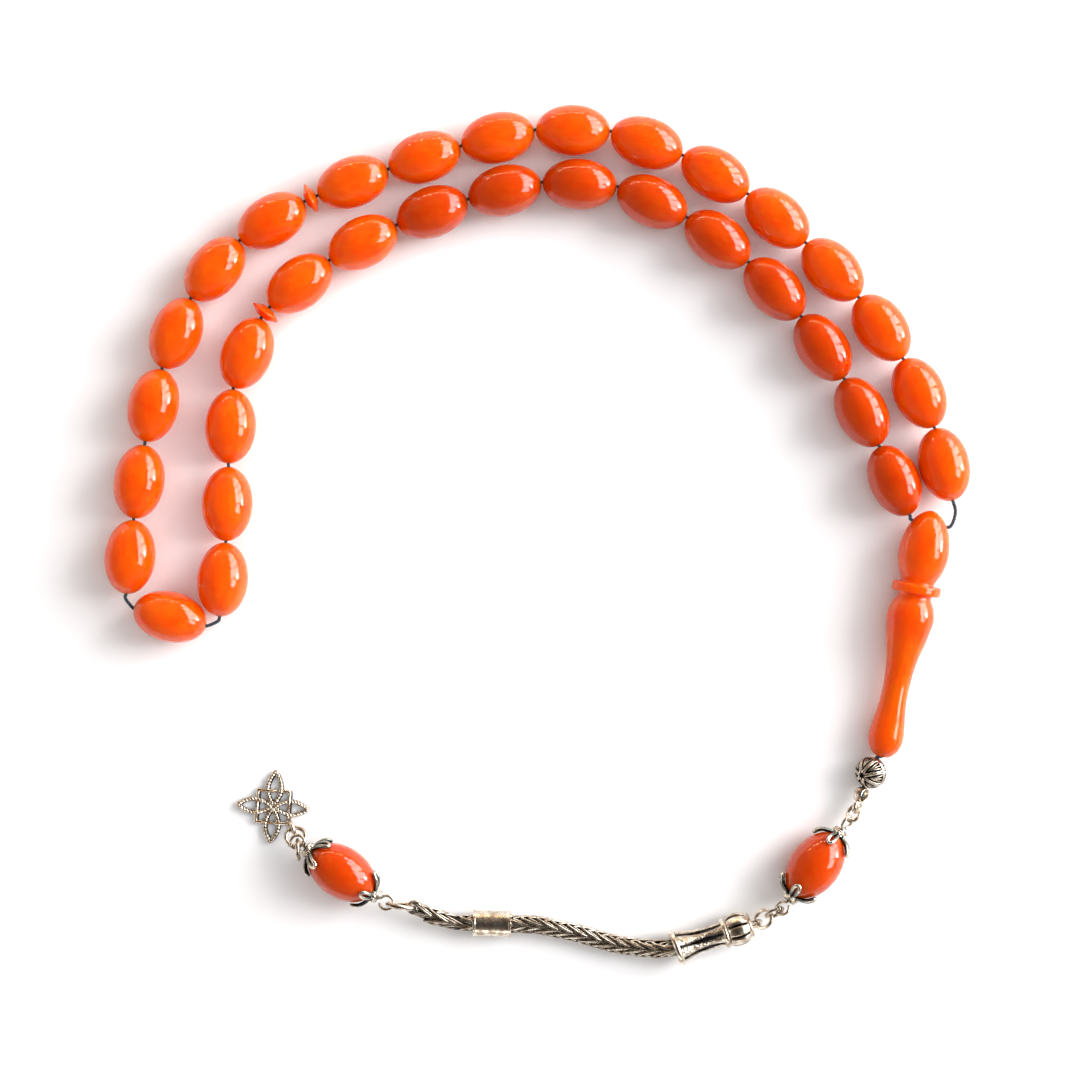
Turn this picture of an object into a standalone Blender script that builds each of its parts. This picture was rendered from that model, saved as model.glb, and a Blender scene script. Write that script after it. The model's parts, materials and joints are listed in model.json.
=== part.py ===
"""Misbaha (prayer beads): drilled oval beads and two dividers on a looped thread, a turned leader
bead, and a tassel of small linked silver pieces. It lies on a table, +Z up, with the table at z = 0.
Sizes here are in millimetres, and each object is made in metres."""

import math

import bpy
from mathutils import Matrix, Vector

MM = 0.001
CLEAR = 0.3  # smallest gap between two pieces that are not one solid

# Beads and dividers
BEAD_LENGTH = 13.0
BEAD_DIAMETER = 9.0
BEAD_BORE = 1.5
BEAD_NOSE = 0.12  # how far the oval's own tip would stand past the drilled end
BEAD_GAP = 0.5
FOLD_GAP = 0.8  # slack between the beads on both sides of the loop's fold
BEADS_PER_THIRD = 11
DIVIDER_DIAMETER = 5.5
DIVIDER_LENGTH = 2.0
DIVIDER_RIM = 0.5

# Thread
THREAD = 0.8
TIP_SPARE = 3.8  # room across the loop's tip besides the bead that lies there
TIP_TUCK = 6.8  # how much less than its diameter that bead lies beyond its neighbours' ends
KNOT_DIAMETER = 1.1

# Leader bead, outline as (distance from its top, diameter)
LEADER_TOP = [(0.0, 0.0), (0.5, 2.9), (1.3, 4.6), (2.5, 6.3), (4.2, 7.8), (7.6, 9.1)]
LEADER_TOP += [(10.6, 8.3), (12.9, 6.1)]
LEADER_COLLAR = [(13.2, 8.3), (13.6, 8.7), (14.8, 8.7), (15.2, 8.3), (15.5, 6.2)]
LEADER_BODY = [(16.6, 6.9), (18.9, 8.4), (21.4, 8.0), (25.3, 6.5), (30.0, 5.3), (34.0, 4.7), (37.4, 5.2)]
LEADER_FOOT = [(41.4, 6.3), (43.4, 5.4), (44.5, 3.8), (44.9, 2.6)]
LEADER_BORE = 1.9
LEADER_REST = (14.2, 8.7)  # the collar, which the leader lies on with its heel
LEADER_HEEL = (41.4, 6.3)
CROSS_HOLE = 1.6
CROSS_HOLE_AT = 2.5
LEADER_HEADING = 258.8
MOUTH_DEPTH = 1.0

# Silver ball and the folded cover on the knot below it
BALL_DIAMETER = 5.8
BALL_BORE = 1.5
BALL_HEADING = 247.0
COVER_SHELL = 2.4
COVER_WALL = 0.3
COVER_RING = 0.98
COVER_WIRE = 0.4
COVER_HEADING = 249.0

# Wire rings: (half length, half width, wire radius), all to the wire's middle
UPPER_LINK = (1.6, 1.15, 0.27)
LOWER_LINK = (1.45, 1.1, 0.3)
CROWN_RING = (1.75, 1.65, 0.3)
END_RING = (2.4, 1.7, 0.4)
JUMP_RING = (1.7, 1.7, 0.36)
PENDANT_RING = (1.75, 1.75, 0.36)

# Eye pins and petal caps of the two tassel beads
EYE = 1.25
PIN_WIRE = 0.27
NECK_LENGTH = 1.1
NECK_DIAMETER = 2.7
PETALS = 5
PETAL_LENGTH = 3.1
PETAL_WIDTH = 1.55
PETAL_WIRE = 0.26
PETAL_LEAN = 36.0  # angle between a petal and the plane across the pin

# Crown, outlines as (distance from its top, radius)
CROWN_DOME = [(0.0, 1.0), (0.5, 2.1), (1.6, 2.8), (3.0, 2.95), (4.3, 2.6)]
CROWN_COLLAR = [(4.6, 2.85), (5.3, 2.85), (5.6, 2.3)]
CROWN_SKIRT = [(8.5, 2.15), (11.0, 2.5), (13.2, 2.95)]
CROWN_RIM = [(13.5, 3.4), (14.3, 3.4)]
CROWN_WALL = 0.55
CROWN_LOBES = 8
CROWN_LOOP = (0.95, 0.3)
SLOT_WIDTH = 0.75
SLOT_ENDS = (6.3, 12.6)
SLOT_DEPTHS = (1.2, 3.6)  # from the crown's axis

# Chain and what is on it
CHAIN = 3.4
CHAIN_TAPER = 1.5
CHAIN_GAP = 0.5  # between the chain's two stretches
CHAIN_LOOP = (1.05, 0.33)
CHAIN_TUCK = 3.2  # length of chain hidden in the crown
BARREL_LENGTH = 6.8
BARREL_DIAMETER = 4.9
BARREL_RIM = 0.5
BARREL_RIM_HEIGHT = 0.15
BARREL_AT = 8.1  # along the chain's straight stretch

# Pendant
PETAL_ARM = 6.6
ARM_WIDTH = 2.3
ARM_WIRE = 0.33
FRAME_SIDE = 5.6
FRAME_WIRE = 0.29
HUB = 1.7
BAIL_RUN = 1.1  # how far the bail leads from the pendant's ring to the frame's corner
BAIL_WIDTH = 1.15
BAIL_WIRE = 0.28

# The lie of the loop: middle line of the double strand from the leader to the tip, for a bead pitch
# of 13.5 mm, with the room between the two rows of beads
LIE_PITCH = 13.5
TIP_ROOM = BEAD_LENGTH + TIP_SPARE - BEAD_DIAMETER
LIE = [
    (69.9, 5.3, -0.9), (67.8, 11.7, 0.8), (62.9, 24.3, 1.7), (55.8, 35.7, 1.6), (47.2, 46.1, 0.6),
    (34.3, 57.4, 0.4), (19.3, 65.6, 0.4), (6.0, 68.1, 0.4), (-7.2, 66.4, 0.4), (-20.1, 62.5, 0.5),
    (-32.5, 57.9, 1.5), (-45.2, 51.0, 3.0), (-54.0, 43.1, 3.5), (-59.0, 32.9, 4.0),
    (-62.0, 22.0, 4.6), (-63.1, 8.8, TIP_ROOM - 0.6), (-64.3, -4.4, TIP_ROOM),
    (-65.3, -16.0, TIP_ROOM),
]
LEADER_OFFSET = (-0.35, -3.1)  # from the start of that line to the leader's cross hole

# The lie of the chain from the crown's mouth: (heading, length) of each stretch
CHAIN_LIE = [(181.0, 5.0), (172.0, 6.0), (164.5, 6.5), (167.5, 7.5), (178.5, 12.6)]
CHAIN_HEIGHTS = [-0.9, -1.25, -1.2, -0.95, -0.95]  # against the crown's mouth
CHAIN_END_LIE = [(164.0, 3.2), (156.0, 3.2)]
CHAIN_END_RISE = 7.0

AMBER = ("amber_resin", (0.86, 0.13, 0.012), 0.12, 0.0)
DEEP_AMBER = ("deep_amber_resin", (0.78, 0.08, 0.01), 0.12, 0.0)
SILVER = ("oxidised_silver", (0.55, 0.5, 0.44), 0.32, 1.0)
NAVY = ("navy_thread", (0.012, 0.035, 0.06), 0.8, 0.0)

ROUND = 12
UP = Vector((0.0, 0.0, 1.0))


def clear_scene():
    for thing in list(bpy.data.objects):
        bpy.data.objects.remove(thing)


def material_of(finish):
    name, colour, roughness, metallic = finish
    made = bpy.data.materials.get(name)
    if made is None:
        made = bpy.data.materials.new(name)
        made.use_nodes = True
        shader = made.node_tree.nodes["Principled BSDF"]
        shader.inputs["Base Color"].default_value = (*colour, 1.0)
        shader.inputs["Roughness"].default_value = roughness
        shader.inputs["Metallic"].default_value = metallic
    return made


def heading(degrees, rise=0.0):
    """Unit vector towards a compass heading (0 along +X, 90 along +Y) and a rise, in degrees."""
    flat, steep = math.radians(degrees), math.radians(rise)
    return Vector((math.cos(flat) * math.cos(steep), math.sin(flat) * math.cos(steep), math.sin(steep)))


def frame_at(place, along, roll=0.0):
    """Local frame with X along the piece, Y level beside it and Z above, rolled about X."""
    side = UP.cross(along)
    side = side.normalized() if side.length > 1e-6 else Vector((0.0, 1.0, 0.0))
    turn = Matrix((along, side, along.cross(side))).transposed().to_4x4()
    return Matrix.Translation(place) @ turn @ Matrix.Rotation(math.radians(roll), 4, "X")


def facing_out(points, faces):
    """The faces, all turned over if they enclose a negative volume."""
    volume = 0.0
    for face in faces:
        first = Vector(points[face[0]])
        for second, third in zip(face[1:], face[2:]):
            volume += first.dot(Vector(points[second]).cross(Vector(points[third])))
    return faces if volume > 0 else [tuple(reversed(face)) for face in faces]


def add_mesh(name, shape, frame, finish, helper=False):
    points, faces = shape
    faces = facing_out(points, faces)
    mesh = bpy.data.meshes.new(name)
    mesh.from_pydata([tuple(p * MM for p in point) for point in points], [], faces)
    mesh.materials.append(material_of(finish))
    mesh.shade_smooth()
    mesh.set_sharp_from_angle(angle=math.radians(40))
    thing = bpy.data.objects.new(name, mesh)
    thing.location = frame.to_translation() * MM
    thing.rotation_euler = frame.to_euler()
    bpy.context.scene.collection.objects.link(thing)
    if helper:
        thing.hide_render = True
        thing.display_type = "WIRE"
    return thing


def combine(thing, shape, frame, operation, label):
    """Joins a second shape to an object, or cuts it out, with an exact Boolean."""
    other = add_mesh(f"{thing.name}_{label}", shape, frame, SILVER, helper=True)
    step = thing.modifiers.new(label, "BOOLEAN")
    step.operation = operation
    step.solver = "EXACT"
    step.object = other


def turned(outline, segments=ROUND, lobe=None):
    """Solid of an (x, radius) outline turned about X. Points at radius 0 become poles. lobe(x, step)
    scales the radius at each step round the axis."""
    points, rings = [], []
    for x, radius in outline:
        if radius == 0.0:
            rings.append([len(points)])
            points.append((x, 0.0, 0.0))
            continue
        rings.append(list(range(len(points), len(points) + segments)))
        for step in range(segments):
            angle = math.tau * step / segments
            reach = radius * (lobe(x, step) if lobe else 1.0)
            points.append((x, reach * math.cos(angle), reach * math.sin(angle)))
    has_pole = outline[0][1] == 0.0
    pairs = list(zip(rings, rings[1:])) + ([] if has_pole else [(rings[-1], rings[0])])
    faces = []
    for first, second in pairs:
        for step in range(segments):
            after = (step + 1) % segments
            if len(first) == 1:
                faces.append((first[0], second[after], second[step]))
            elif len(second) == 1:
                faces.append((first[step], first[after], second[0]))
            else:
                faces.append((first[step], first[after], second[after], second[step]))
    return points, faces


def wire(path, normals, radius, sides=6, closed=True, turn=0.0):
    """Round wire along a path. normals gives, at each point, a direction square to the path."""
    points, faces, count = [], [], len(path)
    for i, place in enumerate(path):
        before = path[i - 1] if closed or i else place
        after = path[(i + 1) % count] if closed or i < count - 1 else place
        along = (after - before).normalized()
        up = (normals[i] - along * normals[i].dot(along)).normalized()
        side = up.cross(along)
        for step in range(sides):
            angle = math.tau * (step + turn) / sides
            points.append(place + radius * (math.cos(angle) * side + math.sin(angle) * up))
    for i in range(count if closed else count - 1):
        j = (i + 1) % count
        for step in range(sides):
            after = (step + 1) % sides
            faces.append((i * sides + step, i * sides + after, j * sides + after, j * sides + step))
    if not closed:
        faces.append(tuple(reversed(range(sides))))
        faces.append(tuple(range((count - 1) * sides, count * sides)))
    return points, faces


def merged(shapes):
    points, faces = [], []
    for more_points, more_faces in shapes:
        faces += [tuple(len(points) + i for i in face) for face in more_faces]
        points += list(more_points)
    return points, faces


class Eye:
    """A wire ring that another piece can hook on: its middle, its plane and its size."""

    def __init__(self, frame, middle, half_length, half_width, wire_radius):
        self.middle = frame @ Vector((middle, 0.0, 0.0))
        self.along, self.beside = frame.col[0].to_3d(), frame.col[1].to_3d()
        self.half_length, self.half_width, self.wire = half_length, half_width, wire_radius

    def hook(self, way):
        """Where a piece that pulls this way touches the ring, and the wire's direction there."""
        turn = math.atan2(self.half_width * way.dot(self.beside), self.half_length * way.dot(self.along))
        place = self.middle + self.along * self.half_length * math.cos(turn)
        place += self.beside * self.half_width * math.sin(turn)
        wire_way = self.beside * self.half_width * math.cos(turn)
        wire_way -= self.along * self.half_length * math.sin(turn)
        return place, wire_way.normalized()


def hung_frame(place, way, wire_way):
    """Frame of a piece hooked on a wire: X along the piece, and its ring square to that wire."""
    side = wire_way.cross(way).normalized()
    turn = Matrix((way, side, way.cross(side))).transposed().to_4x4()
    return Matrix.Translation(place) @ turn


def oval(half_length, half_width, wire_radius, middle=0.0, vertical=False, steps=14):
    """Closed wire ring in the local XY plane, or XZ if vertical, round the point at x = middle."""
    path = []
    for i in range(steps):
        angle = math.tau * i / steps
        x, across = middle + half_length * math.cos(angle), half_width * math.sin(angle)
        path.append(Vector((x, 0.0, across) if vertical else (x, across, 0.0)))
    normal = Vector((0.0, -1.0, 0.0)) if vertical else UP
    return wire(path, [normal] * steps, wire_radius)


def smooth(points, steps):
    """Catmull-Rom curve through the points, of any number of dimensions up to 3."""
    points = [Vector(p) for p in points]
    ends = [2 * points[0] - points[1], *points, 2 * points[-1] - points[-2]]
    curve = []
    for a, b, c, d in zip(ends, ends[1:], ends[2:], ends[3:]):
        for i in range(steps):
            t = i / steps
            bend, twist = 2 * a - 5 * b + 4 * c - d, 3 * b - a - 3 * c + d
            curve.append(0.5 * (2 * b + (c - a) * t + bend * t**2 + twist * t**3))
    curve.append(points[-1])
    return curve


# ---- the lie of the strands


def strand_curves():
    """Middle lines of the outer and the inner row of beads, from the leader to the tip."""
    scale = (BEAD_LENGTH + BEAD_GAP) / LIE_PITCH
    line = smooth([(x * scale, y * scale, room) for x, y, room in LIE], 40)
    outer, inner = [], []
    for i, place in enumerate(line):
        along = line[min(i + 1, len(line) - 1)] - line[max(i - 1, 0)]
        left = Vector((-along.y, along.x, 0.0)).normalized()
        middle = Vector((place.x, place.y, BEAD_DIAMETER / 2))
        offset = left * (BEAD_DIAMETER + place.z) / 2
        outer.append(middle - offset)
        inner.append(middle + offset)
    return outer, inner


def point_at(curve, start, place, distance):
    """First point of the curve, past place, that is this far from it, and the index before it. place
    lies between the points start and start + 1."""
    spots = [place, *curve[start + 1:]]
    for i, (a, b) in enumerate(zip(spots, spots[1:])):
        near, far = (a - place).length, (b - place).length
        if far >= distance:
            return a.lerp(b, (distance - near) / (far - near)), start + i
    last = (curve[-1] - curve[-2]).normalized()
    return spots[-1] + last * (distance - (spots[-1] - place).length), len(curve) - 1


def strung(curve, pieces):
    """Lays pieces end to end along a curve. Each is (name, length, gap after it); gives name to ends."""
    place, index, ends = curve[0], 0, {}
    for name, length, gap in pieces:
        end, index = point_at(curve, index, place, length)
        ends[name] = (place, end)
        place, index = point_at(curve, index, end, gap)
    return ends


def bead_name(number):
    return f"bead_{number:02d}"


def strand_order():
    """Names along each row from the leader, with what lies between them."""
    last = 3 * BEADS_PER_THIRD
    outer = [bead_name(n) for n in range(1, 18)]
    inner = [bead_name(n) for n in range(last, 18, -1)]
    outer.insert(BEADS_PER_THIRD, "divider_outer")
    inner.insert(BEADS_PER_THIRD, "divider_inner")
    return outer, inner


def lengths_of(names, fold_after):
    rows = []
    for name in names:
        length = BEAD_LENGTH if name.startswith("bead") else DIVIDER_LENGTH
        rows.append((name, length, FOLD_GAP if name == fold_after else BEAD_GAP))
    return rows


# ---- shapes


def bead_shape():
    half, radius = BEAD_LENGTH / 2, BEAD_DIAMETER / 2
    tip = half + BEAD_NOSE
    steps = 6
    outline = []
    for i in range(steps + 1):
        x = half * math.cos(math.pi * i / steps)
        outline.append((x, radius * math.sqrt(1 - (x / tip) ** 2)))
    return turned(outline + [(-half, BEAD_BORE / 2), (half, BEAD_BORE / 2)])


def divider_shape():
    half, radius = DIVIDER_LENGTH / 2, DIVIDER_DIAMETER / 2
    flank = BEAD_BORE / 2 + 0.35
    outline = [(half, flank), (DIVIDER_RIM / 2, radius), (-DIVIDER_RIM / 2, radius), (-half, flank)]
    return turned(outline + [(-half, BEAD_BORE / 2), (half, BEAD_BORE / 2)])


def leader_shape():
    outline = [(s, d / 2) for s, d in LEADER_TOP + LEADER_COLLAR + LEADER_BODY + LEADER_FOOT]
    end = outline[-1][0]
    bore = [(end - MOUTH_DEPTH, LEADER_BORE / 2), (CROSS_HOLE_AT, LEADER_BORE / 2), (CROSS_HOLE_AT, 0.0)]
    return turned(outline + bore, 16)


def ball_shape():
    radius, bore = BALL_DIAMETER / 2, BALL_BORE / 2
    half = math.sqrt(radius**2 - bore**2)
    steps = 8
    outline = []
    for i in range(steps + 1):
        x = half * math.cos(math.pi * i / steps)
        outline.append((x, math.sqrt(radius**2 - x**2)))
    return turned(outline, 16)


def cover_shell_shape():
    """Open cup round the knot, its mouth towards the ball, on local -X."""
    outer = COVER_SHELL / 2
    inner = outer - COVER_WALL
    outline = [(outer, 0.0)]
    for degrees in (30, 60, 90, 118):
        angle = math.radians(degrees)
        outline.append((outer * math.cos(angle), outer * math.sin(angle)))
    for degrees in (118, 90, 60, 30):
        angle = math.radians(degrees)
        outline.append((inner * math.cos(angle), inner * math.sin(angle)))
    outline.append((inner, 0.0))
    return turned(outline, ROUND)


def eye_path(centre, sign, roll):
    """Wire path of one eye of a pin, from its open end round to the shank, which leaves it on the
    side of sign."""
    turn = Matrix.Rotation(math.radians(roll), 3, "X")
    path = []
    for degrees in range(40, 360, 32):
        angle = math.radians(degrees)
        spot = Vector((sign * EYE * math.cos(angle), EYE * math.sin(angle), 0.0))
        path.append(Vector((centre, 0.0, 0.0)) + turn @ spot)
    return path, [turn @ UP] * len(path)


def pin_reach():
    """Distance from a tassel bead's middle to the middle of its pin's eye."""
    return BEAD_LENGTH / 2 + CLEAR + NECK_LENGTH + 0.15 + EYE + PIN_WIRE


def pin_shape(middle, far_roll):
    """Eye pin along X with the near eye's middle at x = middle, and the far eye turned about X."""
    far = middle + 2 * pin_reach()
    near_eye, near_up = eye_path(middle, 1, 0.0)
    far_eye, far_up = eye_path(far, -1, far_roll)
    mean = Matrix.Rotation(math.radians(far_roll / 2), 3, "X") @ UP
    shank = [Vector((x, 0.0, 0.0)) for x in (middle + EYE + 0.25, middle + pin_reach(), far - EYE - 0.25)]
    path = near_eye + shank + far_eye[::-1]
    return wire(path, near_up + [near_up[0], mean, far_up[0]] + far_up, PIN_WIRE, closed=False)


def cap_shapes(side):
    """Neck and petals of a cap on a bead's end; side is 1 for the end on +X and -1 for the other."""
    start = BEAD_LENGTH / 2 + CLEAR
    radius, bore = NECK_DIAMETER / 2, PIN_WIRE + CLEAR
    outline = [(start + NECK_LENGTH, radius * 0.8), (start + NECK_LENGTH / 2, radius), (start, radius)]
    outline += [(start, bore), (start + NECK_LENGTH, bore)]
    neck = turned(outline, 10)
    lean = math.radians(PETAL_LEAN)
    away = Vector((-math.sin(lean), math.cos(lean), 0.0))
    root = Vector((start + NECK_LENGTH * 0.55, radius * 0.72, 0.0))
    out = Vector((math.cos(lean), math.sin(lean), 0.0))
    petals = []
    for number in range(PETALS):
        turn = Matrix.Rotation(math.tau * number / PETALS, 3, "X")
        path = []
        for i in range(8):
            angle = math.tau * i / 8
            run = PETAL_LENGTH / 2 * (1 - math.cos(angle))
            spread = PETAL_WIDTH / 2 * math.sin(angle) * (0.55 + 0.45 * run / PETAL_LENGTH)
            path.append(turn @ (root + away * run + Vector((0.0, 0.0, spread))))
        petals.append(wire(path, [turn @ out] * len(path), PETAL_WIRE, 4))
    if side < 0:
        flip = Matrix.Rotation(math.pi, 3, "Z")
        neck = ([flip @ Vector(p) for p in neck[0]], neck[1])
        petals = [([flip @ p for p in points], faces) for points, faces in petals]
    return neck, merged(petals)


def crown_shape():
    outline = CROWN_DOME + CROWN_COLLAR + CROWN_SKIRT + CROWN_RIM
    first, last = outline[0][0], outline[-1][0]
    inside = [(last, CROWN_RIM[-1][1] - CROWN_WALL)]
    inside += [(x, radius - CROWN_WALL) for x, radius in reversed(CROWN_SKIRT)]
    inside += [(CROWN_COLLAR[-1][0], CROWN_COLLAR[-1][1] - CROWN_WALL), (CROWN_DOME[2][0], 1.2)]
    inside += [(first + CROWN_WALL, 0.0)]

    def lobe(x, step):
        on_dome = CROWN_DOME[1][0] <= x <= CROWN_DOME[-2][0]
        return 0.9 if on_dome and step % 2 else 1.0

    top = [(first, 0.0)]
    return turned(top + outline + inside, 2 * CROWN_LOBES, lobe)


def crown_slots():
    """Cutters for the long slots between the skirt's struts."""
    slots = []
    for number in range(CROWN_LOBES):
        turn = Matrix.Rotation(math.tau * (number + 0.5) / CROWN_LOBES, 3, "X")
        path = [turn @ Vector((x, 0.0, (SLOT_DEPTHS[0] + SLOT_DEPTHS[1]) / 2)) for x in SLOT_ENDS]
        points, faces = wire(path, [turn @ UP] * 2, 1.0, 4, closed=False, turn=0.5)
        reach = (SLOT_WIDTH / 2, (SLOT_DEPTHS[1] - SLOT_DEPTHS[0]) / 2)
        shaped = []
        for i, point in enumerate(points):
            offset = turn.transposed() @ (point - path[i // 4])
            across = Vector((0.0, math.copysign(reach[0], offset.y), math.copysign(reach[1], offset.z)))
            shaped.append(path[i // 4] + turn @ across)
        slots.append((shaped, faces))
    return merged(slots)


def chain_tube(places, radii, sides=8):
    """Solid of the chain's outer shape: one ring of points at each place, of its own radius."""
    points, faces = [], []
    for i, place in enumerate(places):
        along = (places[min(i + 1, len(places) - 1)] - places[max(i - 1, 0)]).normalized()
        side = UP.cross(along).normalized()
        up = along.cross(side)
        for step in range(sides):
            angle = math.tau * (step + 0.5) / sides
            points.append(place + radii[i] * (math.cos(angle) * side + math.sin(angle) * up))
    for i in range(len(places) - 1):
        for step in range(sides):
            after = (step + 1) % sides
            here, ahead = i * sides, (i + 1) * sides
            faces.append((here + step, here + after, ahead + after, ahead + step))
    faces.append(tuple(reversed(range(sides))))
    faces.append(tuple(range((len(places) - 1) * sides, len(places) * sides)))
    return points, faces


def barrel_shape():
    half, outer, inner = BARREL_LENGTH / 2, BARREL_DIAMETER / 2, CHAIN / 2 + CLEAR
    body = outer - BARREL_RIM_HEIGHT
    outline = [(half, outer), (half - BARREL_RIM, outer), (half - BARREL_RIM, body)]
    outline += [(-x, radius) for x, radius in reversed(outline)]
    return turned(outline + [(-half, inner), (half, inner)], 16)


def pendant_arms():
    """Four pointed loops round the hub, in the local XY plane."""
    arms = []
    inner = HUB / 2 - ARM_WIRE
    for number in range(4):
        turn = Matrix.Rotation(math.radians(45 + 90 * number), 3, "Z")
        path = []
        for side in (1, -1):
            for i in range(6):
                t = i / 6 if side > 0 else 1 - i / 6
                x = inner + (PETAL_ARM - ARM_WIRE - inner) * t
                path.append(turn @ Vector((x, side * (ARM_WIDTH / 2) * math.sin(math.pi * t) ** 0.9, 0.0)))
        arms.append(wire(path, [UP] * len(path), ARM_WIRE))
    return merged(arms)


def pendant_frame():
    half = FRAME_SIDE / 2 * math.sqrt(2)
    path = [Vector((half, 0, 0)), Vector((0, half, 0)), Vector((-half, 0, 0)), Vector((0, -half, 0))]
    return wire(path, [UP] * 4, FRAME_WIRE * math.sqrt(2), 4, turn=0.5)


# ---- assembly


def add_thread(name, places, radii=None):
    curve = bpy.data.curves.new(name, "CURVE")
    curve.dimensions = "3D"
    curve.bevel_depth = THREAD / 2 * MM
    curve.bevel_resolution = 1
    curve.use_fill_caps = True
    curve.materials.append(material_of(NAVY))
    spline = curve.splines.new("POLY")
    spline.points.add(len(places) - 1)
    for i, place in enumerate(places):
        spline.points[i].co = (*(place - places[0]) * MM, 1.0)
        spline.points[i].radius = radii[i] if radii else 1.0
    thing = bpy.data.objects.new(name, curve)
    thing.location = places[0] * MM
    bpy.context.scene.collection.objects.link(thing)
    return thing


def note_joint(thing, axis):
    """Keeps with a moving piece the direction of the axis that it turns about or slides along."""
    thing["joint_axis"] = [round(value, 6) for value in axis.normalized()]


def add_strands():
    """Beads, dividers and the two stretches of thread that they are strung on."""
    outer_names, inner_names = strand_order()
    outer_curve, inner_curve = strand_curves()
    outer = strung(outer_curve, lengths_of(outer_names, bead_name(15)))
    inner = strung(inner_curve, lengths_of(inner_names, bead_name(21)))
    last_outer, last_inner = outer[bead_name(17)][1], inner[bead_name(19)][1]
    across = (last_inner - last_outer).normalized()
    beyond = across.cross(UP)
    middle = (last_outer + last_inner) / 2 + beyond * (BEAD_DIAMETER - TIP_TUCK)
    tip_ends = (middle - across * BEAD_LENGTH / 2, middle + across * BEAD_LENGTH / 2)
    shapes = {"bead": bead_shape(), "divider": divider_shape()}
    for name, (start, end) in {**outer, **inner, bead_name(18): tip_ends}.items():
        finish = DEEP_AMBER if name.startswith("divider") else AMBER
        along = (end - start).normalized()
        thing = add_mesh(name, shapes[name.split("_")[0]], frame_at((start + end) / 2, along), finish)
        note_joint(thing, -along if name == bead_name(1) else along)
    return outer, inner, tip_ends, beyond


def add_threads(outer, inner, tip_ends, beyond, cross_hole, cross_side):
    """The strand's thread runs from one side of the fold through the leader to the other side, and
    the tip's thread runs round the tip between the same two places."""
    outer_names, inner_names = strand_order()
    fold_outer = (outer[bead_name(15)][1] + outer[bead_name(16)][0]) / 2
    fold_inner = (inner[bead_name(21)][1] + inner[bead_name(20)][0]) / 2
    cut = CLEAR / 2 + 0.02

    def run(names, ends):
        return [place for name in names for place in ends[name]]

    def beside(place, towards):
        return place + (towards - place).normalized() * cut

    outer_root = outer_names[: outer_names.index(bead_name(16))]
    inner_root = inner_names[: inner_names.index(bead_name(20))]
    outer_run, inner_run = run(outer_root, outer), run(inner_root, inner)
    mouth = LEADER_TOP[3][1] / 2
    bulb_right = cross_hole + cross_side * (mouth + 0.2)
    bulb_left = cross_hole - cross_side * (mouth + 0.2)
    first, last = outer_run[0], inner_run[0]
    drop_right = (first - outer_run[1]).normalized() * 2.2
    right_bend = smooth([first, first + drop_right, bulb_right + cross_side * 0.5, bulb_right], 4)[1:-1]
    drop_left = (last - inner_run[1]).normalized() * 0.5
    left_bend = smooth([bulb_left, bulb_left - cross_side * 0.4, last + drop_left, last], 3)[1:-1]
    root = [beside(fold_outer, outer_run[-1])] + outer_run[::-1] + right_bend
    root += [bulb_right, bulb_left] + left_bend + inner_run + [beside(fold_inner, inner_run[-1])]
    add_thread("cord_strand", root)
    tip_outer = run(outer_names[outer_names.index(bead_name(16)):], outer)
    tip_inner = run(inner_names[inner_names.index(bead_name(20)):], inner)
    lift = beyond * 0.9
    left, right = tip_ends
    nose = (right - left) * 0.03
    first_bend = smooth([tip_outer[-1], tip_outer[-1] + lift, left - nose, left], 4)[1:-1]
    second_bend = smooth([right, right + nose, tip_inner[-1] + lift, tip_inner[-1]], 4)[1:-1]
    around = [beside(fold_outer, tip_outer[0])] + tip_outer + first_bend + [left, right]
    around += second_bend + tip_inner[::-1] + [beside(fold_inner, tip_inner[0])]
    tip = add_thread("cord_tip", around)
    note_joint(tip, fold_outer - fold_inner)
    tip["joint_place"] = list(fold_outer * MM)


def add_leader(start):
    """Leader, with its hinge on the cross hole that the strand's thread runs through."""
    at_collar, collar = LEADER_REST
    at_heel, heel = LEADER_HEEL
    rise = -math.degrees(math.asin((collar - heel) / 2 / (at_heel - at_collar)))
    along = heading(LEADER_HEADING, rise)
    height = collar / 2 - along.z * (at_collar - CROSS_HOLE_AT)
    hole = Vector((start.x + LEADER_OFFSET[0], start.y + LEADER_OFFSET[1], height))
    frame = frame_at(hole, along)
    points, faces = leader_shape()
    shape = ([(x - CROSS_HOLE_AT, y, z) for x, y, z in points], faces)
    leader = add_mesh("leader", shape, frame, AMBER)
    reach = Vector((0.0, collar, 0.0))
    drill = wire([-reach, reach], [UP, UP], CROSS_HOLE / 2, 8, closed=False)
    combine(leader, drill, frame, "DIFFERENCE", "cross_hole")
    note_joint(leader, frame.col[1].to_3d())
    end = LEADER_FOOT[-1][0]
    return hole, frame.col[1].to_3d(), frame @ Vector((end - CROSS_HOLE_AT, 0, 0)), frame, along


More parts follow.
